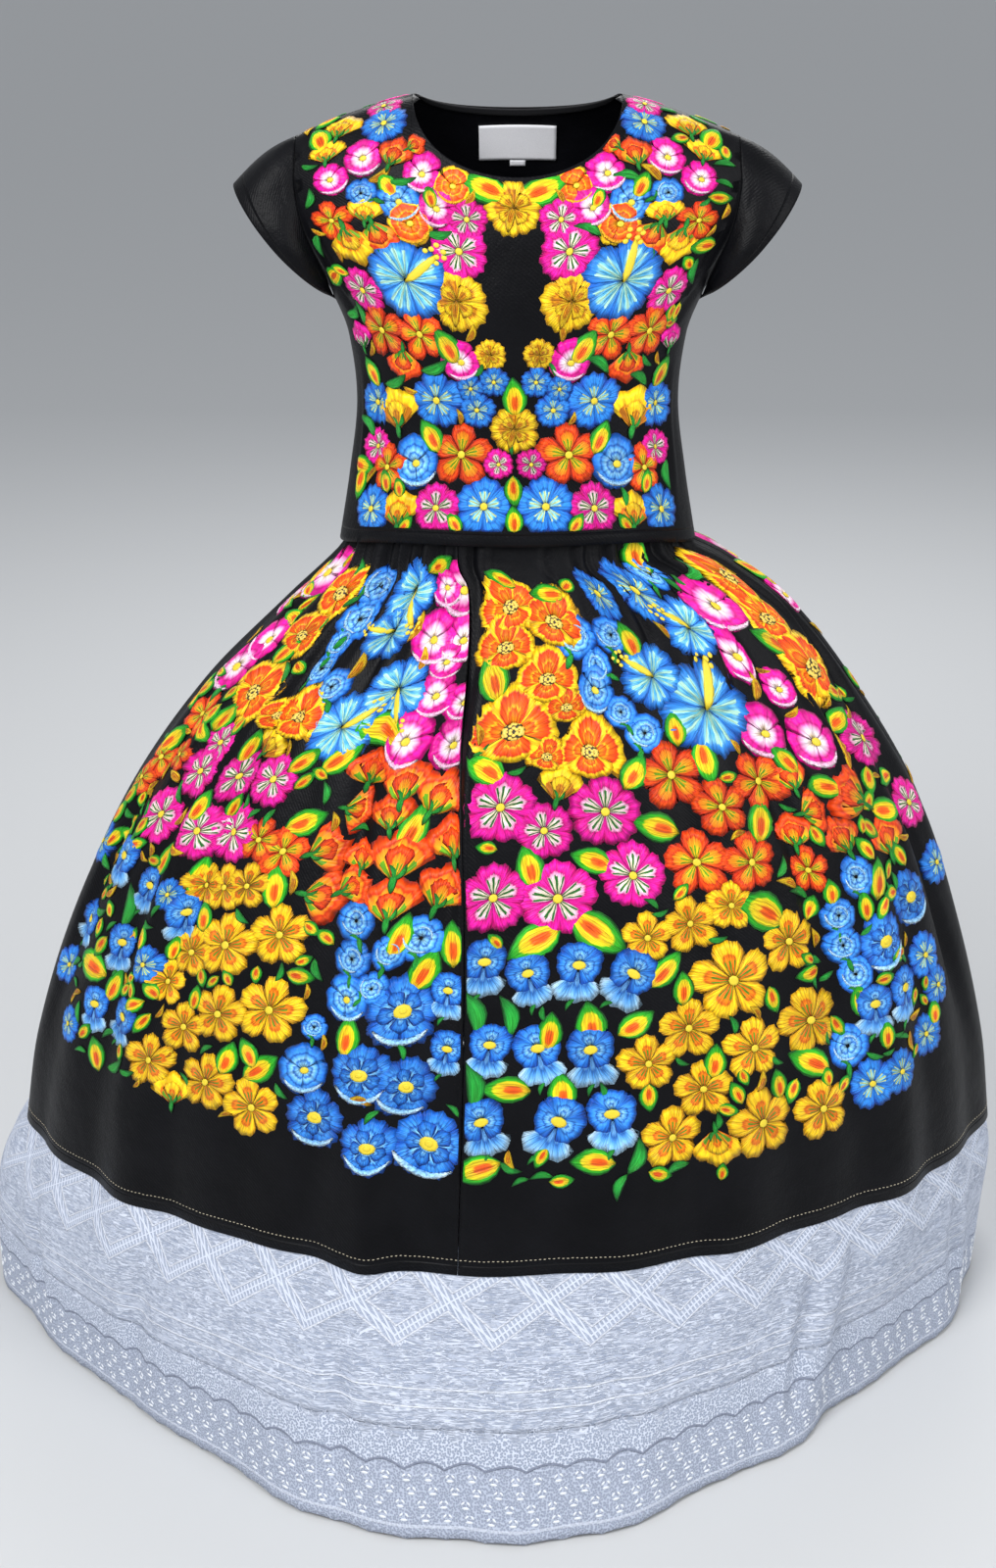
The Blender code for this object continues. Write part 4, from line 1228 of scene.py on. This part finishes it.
# The same on the skirt's front, with the angle in degrees instead of the place across.
skirtMotifs = {
    ("bowl", "magenta"): (
        (-76.7, 137, 51, -30), (-88.3, 176, 38, -40), (-73.2, 212, 47, -20),
        (-75.7, 248, 56, -20), (-19, 124, 53, -8), (-24.2, 124, 36, 0), (-23.7, 174, 51, 10),
        (-19, 195, 36, 0), (-17, 173, 45, -5), (-18.7, 231, 44, 10), (-13.2, 240, 38, 0),
        (-20.8, 279, 57, -10), (-13, 285, 51, -10), (49.7, 154, 48, -20), (45, 205, 54, 10),
        (51.3, 248, 39, 0), (42.7, 289, 54, -20), (53.3, 310, 61, -10),
    ),
    ("poppy", "poppy"): (
        (-59.7, 146, 52, -40), (-60.5, 192, 48, -20), (-59.8, 259, 66, -40),
        (-49.8, 277, 39, -30), (-44.2, 270, 58, 0), (-6.8, 137, 55, 20), (4.5, 151, 55, -30),
        (-7.3, 175, 57, 0), (2, 208, 59, 0), (-3.3, 262, 82, 10), (3, 293, 38, -10),
        (5.8, 240, 40, 10), (10, 287, 70, 0), (67.2, 133, 61, 30), (63.8, 174, 59, 0),
        (65.8, 235, 82, 40),
    ),
    ("leaf", "leaf"): (
        (-61.7, 214, 26, -10), (-80.3, 283, 23, -30), (-63.5, 297, 29, -10),
        (-77.7, 346, 32, -20), (-37.8, 317, 28, -40), (-31.3, 308, 36, -40), (-51, 317, 28, 0),
        (-26.3, 101, 23, -50), (-7.3, 113, 23, 50), (4.5, 130, 25, 80), (-8.7, 213, 38, 25),
        (-26.3, 276, 45, 80), (-6.7, 310, 36, 50), (41.8, 94, 34, -10), (20, 175, 28, 0),
        (57.3, 199, 31, 40), (25.2, 273, 28, 0), (64.3, 301, 33, -70), (44.5, 323, 30, 30),
        (29.3, 311, 36, 180), (16.7, 315, 32, -30), (50.7, 364, 35, 75), (65.5, 415, 38, -110),
        (18.8, 377, 40, 65), (36, 386, 37, -15), (-81, 449, 28, -30), (-77.8, 477, 23, -20),
        (-54, 390, 29, -10), (-48.2, 384, 22, -10), (-33, 382, 37, -60), (-34.8, 462, 37, 20),
        (-57.5, 463, 34, -20), (-49.2, 471, 35, -10), (-36, 675, 31, -15), (-33, 663, 29, 30),
        (-31, 678, 37, -40), (-45.5, 515, 26, 10), (-43.3, 613, 22, 0), (-51.3, 619, 22, 50),
        (-55.8, 557, 27, 0), (-49.7, 562, 24, 0), (-67.5, 625, 46, 90), (-60.5, 636, 34, -20),
        (-61.5, 732, 33, 20), (-16.2, 379, 42, -15), (0.7, 417, 36, 20), (9.5, 413, 34, 70),
        (2, 504, 47, 120), (10, 492, 51, -135), (-8.2, 505, 38, 10), (-15, 498, 38, -10),
        (-11.3, 537, 38, -30), (4.2, 607, 32, 0), (9, 599, 38, 0), (14.5, 599, 34, -60),
        (-0.3, 675, 38, 90), (5.7, 678, 36, 0), (-3.2, 770, 39, 110), (9.2, 765, 37, 90),
        (-19.5, 618, 36, 0), (45.7, 483, 24, 0), (51.8, 511, 27, 0), (55.7, 482, 38, -20),
        (33, 488, 50, 50), (18.3, 540, 36, -40), (20.7, 565, 30, 0), (24.3, 658, 30, -10),
        (33.2, 702, 29, 0), (38.8, 687, 42, 60), (48.5, 625, 34, 0), (52.2, 678, 27, 0),
        (65.3, 684, 26, 0),
    ),
    ("cup", "blue"): (
        (-47.7, 194, 37, 0), (-47.5, 224, 39, -20), (-40.7, 237, 39, 20), (-48.2, 135, 43, -40),
        (-46.7, 169, 43, -10), (8.3, 171, 44, -20), (16.5, 171, 36, 0), (12.3, 202, 40, 60),
        (40.2, 118, 36, -30), (15.8, 251, 34, 30), (19.3, 274, 42, -15), (-21, 486, 45, 20),
        (-20.5, 529, 43, 0), (-17.3, 558, 36, -30), (-15.8, 517, 40, -20), (-12.3, 502, 51, 0),
        (-24.2, 617, 30, 0), (51.3, 475, 49, 0), (46.5, 515, 44, 0), (46.7, 553, 44, 20),
        (48.2, 592, 49, 0), (45.8, 683, 54, 0),
    ),
    ("rosette", "orange"): (
        (-73.5, 308, 47, 0), (-77, 369, 48, 0), (-79.3, 400, 39, 0), (-69.7, 353, 36, 0),
        (22.8, 322, 66, 0), (38.3, 343, 58, 15), (29.7, 361, 58, 0), (-39.8, 411, 48, 0),
        (-35.2, 420, 56, 0), (24.3, 422, 66, 0), (32.5, 428, 60, 10), (43, 454, 50, 0),
    ),
    ("rosette", "magenta"): (
        (-59.7, 323, 49, 0), (-60.2, 359, 56, 0), (-50, 350, 55, 0), (-42.2, 344, 56, 0),
        (-3.8, 351, 70, 0), (2.7, 377, 57, 20), (11.7, 358, 68, 0), (70.2, 333, 63, 0),
        (76.3, 428, 57, 0), (-64.8, 421, 65, 0), (-52, 417, 62, 0), (-45.7, 412, 61, 0),
        (-3.7, 451, 68, 10), (4.7, 453, 80, 0), (14.8, 429, 68, 0),
    ),
    ("cup", "gold"): (
        (-47.2, 312, 35, -20), (5, 330, 40, -20),
    ),
    ("hibiscus", "blue"): (
        (-33.7, 276, 71, -15), (-34.5, 134, 66, -125), (-35.3, 175, 51, 105),
        (-26.8, 232, 66, -130), (37, 171, 56, 80), (22.8, 214, 62, 75), (32.5, 254, 98, 8),
    ),
    ("bud", "gold"): (
        (-38.7, 212, 28, 0), (-29.7, 165, 28, 0), (-24.8, 197, 26, 0), (-9, 271, 23, 15),
        (44.7, 239, 28, -15), (60, 333, 42, 0), (51.5, 275, 20, -70), (64.5, 279, 16, -60),
        (-28.5, 378, 21, 10), (-32.3, 453, 26, 20), (-16.8, 693, 26, 90), (38.5, 465, 26, 60),
    ),
    ("bud", "green"): (
        (-61.7, 123, 20, 0), (-8, 287, 17, -60), (3.7, 781, 22, 90), (37.7, 442, 24, -30),
        (24.2, 733, 20, 0),
    ),
    ("cup", "orange"): (
        (-25.3, 321, 43, 0), (-18.7, 328, 49, 0), (-13.2, 344, 51, -20), (-25.7, 363, 41, -90),
        (-19.5, 363, 40, 15), (44.3, 344, 39, 0), (56.7, 382, 58, 40), (46.2, 385, 39, -80),
        (-28.3, 410, 49, -60), (-27.2, 463, 51, -85), (-23, 449, 41, -50), (-10, 392, 51, 15),
        (-17, 411, 61, 0), (-22.7, 417, 38, 10), (-10.5, 447, 53, -10), (-17, 461, 53, 0),
        (42, 409, 43, 0), (50.7, 427, 46, 20), (62.5, 447, 54, 0),
    ),
    ("rosette", "blue"): (
        (18.8, 130, 51, 0), (30.2, 130, 64, 0), (-52.8, 497, 38, 0), (-53.3, 587, 45, 0),
        (-81.7, 492, 49, 0), (-77, 654, 47, 0), (-70, 715, 45, 0), (65.5, 606, 53, 0),
        (78.7, 514, 51, 0), (49.3, 738, 61, 0), (54.3, 732, 53, 0), (62.8, 708, 51, 0),
        (67.5, 652, 47, 0),
    ),
    ("bowl", "blue"): (
        (11.4, 226, 46, -20), (-20.3, 573, 49, 0), (-24.8, 668, 54, 0),
    ),
    ("rosette", "yellow"): (
        (-47.3, 480, 46, 0), (-43.2, 474, 50, 10), (-39, 465, 48, 0), (-39.8, 538, 68, 0),
        (-31.7, 514, 65, 10), (-45.8, 559, 55, 0), (-49.2, 604, 51, 0), (-38.5, 622, 62, 0),
        (-30.8, 604, 74, 0), (-44.3, 652, 56, 0), (-49, 705, 59, 0), (-38.8, 711, 62, 0),
        (-31.3, 729, 66, 20), (16.2, 500, 51, 0), (22.3, 491, 56, 10), (28.2, 473, 51, 0),
        (37.2, 531, 65, 0), (27.5, 561, 84, 10), (21.3, 614, 65, 0), (39.3, 632, 75, 10),
        (29.7, 647, 65, 0), (15.8, 648, 58, 0), (22.8, 691, 61, 0), (30.3, 744, 75, 0),
        (40.2, 749, 65, 10), (18.5, 744, 65, 0),
    ),
    ("cup", "yellow"): (
        (-44.5, 738, 43, 0), (24.2, 761, 46, 180),
    ),
    ("bell", "blue"): (
        (-69.2, 492, 53, 0), (-59.2, 509, 47, 0), (-49.2, 525, 53, 0), (-74, 588, 49, 0),
        (-61, 588, 52, 10), (-63.5, 677, 51, 0), (-56, 673, 52, -10), (-8, 565, 45, 0),
        (-7.5, 633, 45, 0), (-4, 532, 53, 0), (1.7, 548, 53, 15), (7.5, 539, 57, 0),
        (13.7, 549, 58, -30), (-2.7, 628, 53, -5), (3.2, 636, 60, 10), (9.2, 639, 60, 0),
        (-2.8, 721, 58, 20), (5, 724, 64, -20), (11.5, 717, 62, 0), (50.7, 643, 56, 0),
        (57.7, 639, 59, 0),
    ),
    ("leaf", "green"): (
        (-63.3, 536, 46, 15), (-56.2, 729, 30, -50), (-5.3, 582, 47, 20), (-1, 588, 40, 20),
        (-4.7, 669, 45, 10), (13.8, 758, 37, -15), (40.5, 481, 26, 60),
    ),
    ("peony", "blue"): (
        (-13.2, 585, 73, 0), (-17.2, 660, 66, 0), (-22.5, 726, 63, 0), (-15.3, 745, 60, -10),
        (-11.8, 675, 62, -20), (-8.7, 742, 77, -20), (54.5, 560, 65, 10), (64.7, 527, 62, 10),
    ),
}
embroidery = {
    "mirror": -0.010, "stackLift": 0.0005, "clearHem": 0.016, "clearEdge": 0.004, "sizes": 1.14,
    "lean": 7, "sideEdge": 0.985, "halfWidth": 0.27, "skirtFoot": 0.03, "skirtHead": 0.062,
    "seamClear": 0.25, "widths": (0.94, 1.06), "lengths": (0.95, 1.05),
    "panel": (0.085, 0.17, 0.34),
}
dice = random.Random(11)


def listMotifs(table):
    return [(*kind, across, down / 1000, size, turn)
            for kind, places in table.items() for across, down, size, turn in places]


def surfaceFrame(surface, across, along, step, outwards):
    # the cloth's points and its outward directions
    points = surface(across, along)
    right = surface(across + step, along) - surface(across - step, along)
    up = surface(across, along - 0.002) - surface(across, along + 0.002)
    normal = np.cross(right, up) * outwards
    return points, normal / np.maximum(np.linalg.norm(normal, axis=-1, keepdims=True), 1e-12)


def stitchParts(name, parts, surface, step, outwards, trim=None):
    # parts: template, thread, then centre across and along, metres to a unit across,
    # hand, tone, and the part's own place, turn, sizes and heights
    sewn = bmesh.new()
    local, centre, tones, faceThreads = [], [], [], []
    used = sorted({part[1] for part in parts}, key=threadOrder.index)
    for (template, thread, across, along, scale, hand, tone,
         x, y, turn, wide, tall, rise, base) in parts:
        places, stitch, faces = templateData[template]
        sewn.from_mesh(templates[template])
        cosine, sine = math.cos(math.radians(turn)), math.sin(math.radians(turn))
        px, py = places[:, 0] * wide, places[:, 1] * tall
        local.append(np.stack([
            (x + px * cosine - py * sine) * hand / scale, -(y + px * sine + py * cosine),
            places[:, 2] * rise + base,
        ], -1))
        centre.append(np.broadcast_to((across, along), (len(places), 2)))
        tones.append(np.concatenate([stitch[:, :2], np.full((len(places), 1), tone)], 1))
        faceThreads.append(np.full(faces, used.index(thread)))
    mesh = meshFrom(name, sewn)
    local, centre = np.concatenate(local), np.concatenate(centre)
    across, along = centre[:, 0] + local[:, 0], centre[:, 1] + local[:, 1]
    if trim:
        across, along = trim(across, along, centre)
    points, normal = surfaceFrame(surface, across, along, step, outwards)
    points = points + normal * local[:, 2:3]
    mesh.vertices.foreach_set("co", points.ravel())
    mesh.attributes["stitch"].data.foreach_set("vector", np.concatenate(tones).ravel())
    mesh.polygons.foreach_set("material_index", np.concatenate(faceThreads))
    mesh.update()
    return finishPiece(name, mesh, [threads[thread] for thread in used])


def expandMotif(motif, surface, step, hand=1):
    # one motif as its parts, placed in the cloth's own measure
    kind, colour, across, along, size, turn = motif
    radius = size * embroidery["sizes"] / 2000
    here = surface(np.array([across - step, across + step]), np.array([along, along]))
    scale = float(np.linalg.norm(here[1] - here[0])) / (2 * step)
    tone = dice.random()
    stack = embroidery["stackLift"] * (dice.random() + (1 if size < 34 else 0))
    turned = turn + dice.uniform(-embroidery["lean"], embroidery["lean"])
    cosine, sine = math.cos(math.radians(turned)), math.sin(math.radians(turned))
    parts = []
    for template, thread, x, y, own, wide, tall, rise, base in recipes[kind](colour):
        wide *= dice.uniform(*embroidery["widths"])
        tall *= dice.uniform(*embroidery["lengths"])
        parts.append((
            template, thread, across, along, scale, hand, tone,
            radius * (x * cosine - y * sine), radius * (x * sine + y * cosine), own + turned,
            radius * wide, radius * tall, rise / 1000, base / 1000 + stack,
        ))
    return parts


def softLimit(values, lowest, highest, give=0.02):
    # presses what lies past a limit against it
    values = np.where(values < lowest, lowest - (lowest - values) * give, values)
    return np.where(values > highest, highest + (values - highest) * give, values)


fill = {
    "pitch": 0.019, "clear": 0.003, "near": 0.072, "least": 4, "smallest": 15, "largest": 25,
    "clearEdge": 0.016, "pastArmhole": 0.055, "stray": 0.006, "leafRoom": 1.25, "filled": 2400,
    "blouse": (-0.72, 0.70, 0.02, 0.5), "skirt": (-88.0, 88.0, 0.12, 0.86),
    "kinds": (("leaf", "leaf"), ("leaf", "leaf"), ("leaf", "green"), ("bud", "gold"),
              ("leaf", "green")),
}


def fillGaps(motifs, measure, first, last, top, foot, keepOut=None):
    # small leaves and buds between the flowers, wherever the cloth would show
    taken = [(*measure(across, along), size / 2000 * (fill["leafRoom"] if kind == "leaf" else 1.0))
             for kind, _, across, along, size, _ in motifs]
    flowers = list(taken)
    added = []
    across = first
    while across < last:
        along = top
        while along < foot:
            x, y = measure(across, along)
            x += dice.uniform(-fill["stray"], fill["stray"])
            y += dice.uniform(-fill["stray"], fill["stray"])
            room = min(math.hypot(x - a, y - b) - r for a, b, r in taken)
            close = sum(math.hypot(x - a, y - b) < fill["near"] for a, b, _ in flowers)
            blocked = keepOut and keepOut(across, along)
            if room > fill["clear"] and close >= fill["least"] and not blocked:
                size = min(room * fill["filled"], fill["largest"])
                if size > fill["smallest"]:
                    kind, colour = dice.choice(fill["kinds"])
                    added.append((kind, colour, across, along, size, dice.uniform(-180, 180)))
                    taken.append((x, y, size / 2000))
            along += fill["pitch"] * 0.5
        here, there = measure(across, foot)[0], measure(across + 0.01, foot)[0]
        across += 0.01 * fill["pitch"] * 0.5 / (there - here)
    return added


def embroiderBlouse():
    pieces = []
    left = listMotifs(blouseMotifs)
    mirrored = [(kind, colour, 2 * embroidery["mirror"] - across, along, size, -turn)
                for kind, colour, across, along, size, turn in left]
    motifs = left + mirrored + listMotifs(blouseMiddleMotifs)

    def measure(across, along):
        return across * embroidery["halfWidth"], along

    def keepOut(across, along):
        # the plain panel down the middle of the chest, and what is too near an edge
        half, top, foot = embroidery["panel"]
        plain = abs(across - embroidery["mirror"]) < half and top < along < foot
        edges = blouseEdge(np.array([across, abs(across) + fill["pastArmhole"]]), -1)
        return plain or along < float(edges.max()) + fill["clearEdge"]

    motifs += fillGaps(motifs, measure, *fill["blouse"], keepOut)
    for name, side, extra in (("blouse_front_flowers", -1, []),
                              ("blouse_back_flowers", 1, listMotifs(blouseYokeMotifs))):
        def surface(across, along, side=side):
            return blousePoint(across, along, side)

        def trim(across, along, centre, side=side):
            across = softLimit(across, -embroidery["sideEdge"], embroidery["sideEdge"])
            top = blouseEdge(across, side) + embroidery["clearEdge"]
            return across, softLimit(along, top, blouse["length"] - embroidery["clearHem"])

        parts = []
        for motif in motifs + extra:
            if side > 0:
                motif = (motif[0], motif[1], -motif[2], *motif[3:])
            parts += expandMotif(motif, surface, 0.004, -side)
        pieces.append(stitchParts(name, parts, surface, 0.004, -side, trim))
    return pieces


def skirtTrim(first, last):
    def trim(across, along, centre):
        foot = cloth["skirtLength"] - embroidery["skirtFoot"]
        along = softLimit(along, embroidery["skirtHead"], foot)
        margin = seamMargin(along) + embroidery["seamClear"]
        seam = seamAngle(1, along)
        fromLeft = seamAngle(1, centre[:, 1]) > centre[:, 0]
        onFront = centre[:, 0] < 90
        highest = np.where(fromLeft & onFront, seam - margin, last)
        lowest = np.where(~fromLeft & onFront, seam + margin, first)
        return softLimit(across, lowest, highest), along
    return trim


def embroiderSkirt():
    pieces = []
    motifs = listMotifs(skirtMotifs)

    def measure(angle, along):
        ring = sum(readSmoothly(skirtRings, name, along) for name in ("halfWidth", "front"))
        return math.radians(angle) * float(ring) / 2, along

    motifs += fillGaps(motifs, measure, *fill["skirt"])
    for side, turnRound in (("front", 0), ("back", 180)):
        for zone, low, high in (("left", -91, -28), ("middle", -28, 30), ("right", 30, 91)):
            parts = []
            for kind, colour, angle, along, size, turn in motifs:
                if low <= angle < high:
                    placed = (kind, colour, angle + turnRound, along, size, turn)
                    parts += expandMotif(placed, skirtPoint, 0.5)
            name = "skirt_" + side + "_flowers_" + zone
            trim = skirtTrim(turnRound - 91, turnRound + 91)
            pieces.append(stitchParts(name, parts, skirtPoint, 0.25, 1, trim))
    return pieces


flowerPieces = embroiderBlouse() + embroiderSkirt()
print("flowers stitched:", sum(len(piece.data.polygons) for piece in flowerPieces))


threads["cream"], threads["white"] = creamThread, whiteThread
threadOrder += ["cream", "white"]
stitches = {
    "hemUp": 0.018, "pitch": 0.0052, "length": 0.0034, "width": 0.0010, "sprigPitch": 0.024,
    "sprigRows": (0.231, 0.243, 0.255, 0.267), "labelPitch": 0.0034, "labelFrom": 0.003,
}
# The seeds of a sprig: place across and up, turn, half width and half length.
sprig = (
    (-0.0032, 0.0030, -52, 0.0012, 0.0030), (0.0032, 0.0030, 52, 0.0012, 0.0030),
    (0.0, -0.0014, 90, 0.0015, 0.0050),
)


def metresEachDegree(surface, angle, along):
    here = surface(np.array([angle - 0.5, angle + 0.5]), np.array([along, along]))
    return float(np.linalg.norm(here[1] - here[0]))


def runAlong(surface, along, pitch, start=-90.0, end=270.0):
    # angles a pitch apart round the garment
    angles, angle = [], start
    while angle < end:
        angles.append(angle)
        angle += pitch / metresEachDegree(surface, angle, along)
    return angles


def stitchHem():
    along = cloth["skirtLength"] - stitches["hemUp"]
    wide, tall = stitches["width"] / 2, stitches["length"] / 2
    parts = []
    for angle in runAlong(skirtPoint, along, stitches["pitch"]):
        place = along + dice.uniform(-0.0003, 0.0003)
        turn = 90 + dice.uniform(-4, 4)
        scale = metresEachDegree(skirtPoint, angle, place)
        parts.append(("seed", "cream", angle, place, scale, 1, dice.random(), 0.0, 0.0, turn,
                      wide, tall, 0.0005, 0.0))
    return stitchParts("skirt_hem_topstitch", parts, skirtPoint, 0.25, 1)


def stitchSprigs():
    # rows of small sprigs on the edging: two slanted leaves over a bow
    parts = []
    for row, along in enumerate(stitches["sprigRows"]):
        start = -90 + row % 2 * stitches["sprigPitch"] * 45
        for angle in runAlong(laceSurface, along, stitches["sprigPitch"], start):
            scale = metresEachDegree(laceSurface, angle, along)
            tone = dice.random()
            parts += [("seed", "white", angle, along, scale, 1, tone, *seed, 0.0009, 0.0)
                      for seed in sprig]
    return stitchParts("edging_sprigs", parts, laceSurface, 0.1, 1)


def stitchLabel():
    def surface(across, along):
        half, tall = inside["labelWidth"] / 2, inside["labelHeight"]
        return insideBack(half, -across, along, tall / 3)

    top = inside["labelAlong"]
    downs = np.arange(top + stitches["labelFrom"], top + inside["labelHeight"],
                      stitches["labelPitch"])
    parts = [("seed", "cream", across, float(down), inside["labelWidth"] / 2, 1, 0.4,
              0.0, 0.0, 0.0, 0.0004, 0.0012, 0.0003, 0.0001)
             for across in (-0.955, 0.955) for down in downs]
    return stitchParts("label_end_stitches", parts, surface, 0.01, 1)


stitchHem()
stitchSprigs()
stitchLabel()
print("trims stitched")

ownNames = {"waistband_cloth": "skirt_waistband", "neck_label_tape": "neck_label",
            "size_tab_tape": "size_tab"}
garment = blousePieces + sleevePieces + skirtPieces[:4] + lacePieces
for piece in garment + skirtPieces[4:] + neckPieces:
    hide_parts(ownNames.get(piece.name, piece.name.replace("_cloth", "")))


stage = {"size": 90, "colour": (0.60, 0.61, 0.62), "gap": 0.002}


def setStage():
    base = bmesh.new()
    bmesh.ops.create_grid(base, x_segments=1, y_segments=1, size=stage["size"])
    mesh = meshFrom("floor", base)
    mesh.materials.append(startMaterial("pale floor", stage["colour"], 0.9)[0])
    floor = putInScene("floor", mesh)
    floor.location.z = cadBox[0][2] - stage["gap"]


# Lamps: place, turn in degrees, size in metres and power in watts.
lamps = {
    "key": ((-1.7, -2.4, 1.9), (50, 0, -34), 1.8, 122),
    "fill": ((2.2, -1.8, 0.9), (64, 0, 52), 2.2, 50),
    "back": ((0.4, 2.6, 1.8), (-58, 0, 0), 2.4, 60),
}
room = {"colour": (0.86, 0.89, 0.93, 1), "strength": 0.54}


def lightScene():
    for name, (place, turn, size, power) in lamps.items():
        lamp = bpy.data.lights.new(name, "AREA")
        lamp.size, lamp.energy = size, power
        holder = putInScene(name, lamp)
        holder.location = place
        holder.rotation_euler = [math.radians(value) for value in turn]
    world = bpy.data.worlds.new("studio")
    world.use_nodes = True
    background = world.node_tree.nodes["Background"]
    background.inputs[0].default_value = room["colour"]
    background.inputs[1].default_value = room["strength"]
    bpy.context.scene.world = world


view = {"place": (0.0, -2.2, 0.20), "tilt": 65.8, "lens": 46.01, "sensor": 36, "shift": -0.0125}


def setCamera():
    eye = bpy.data.cameras.new("camera")
    eye.lens, eye.sensor_width, eye.shift_x = view["lens"], view["sensor"], view["shift"]
    holder = putInScene("camera", eye)
    holder.location = view["place"]
    holder.rotation_euler = (math.radians(view["tilt"]), 0, 0)
    bpy.context.scene.camera = holder
    bpy.context.scene.view_settings.view_transform = "Standard"


setStage()
lightScene()
setCamera()
print("stage set")
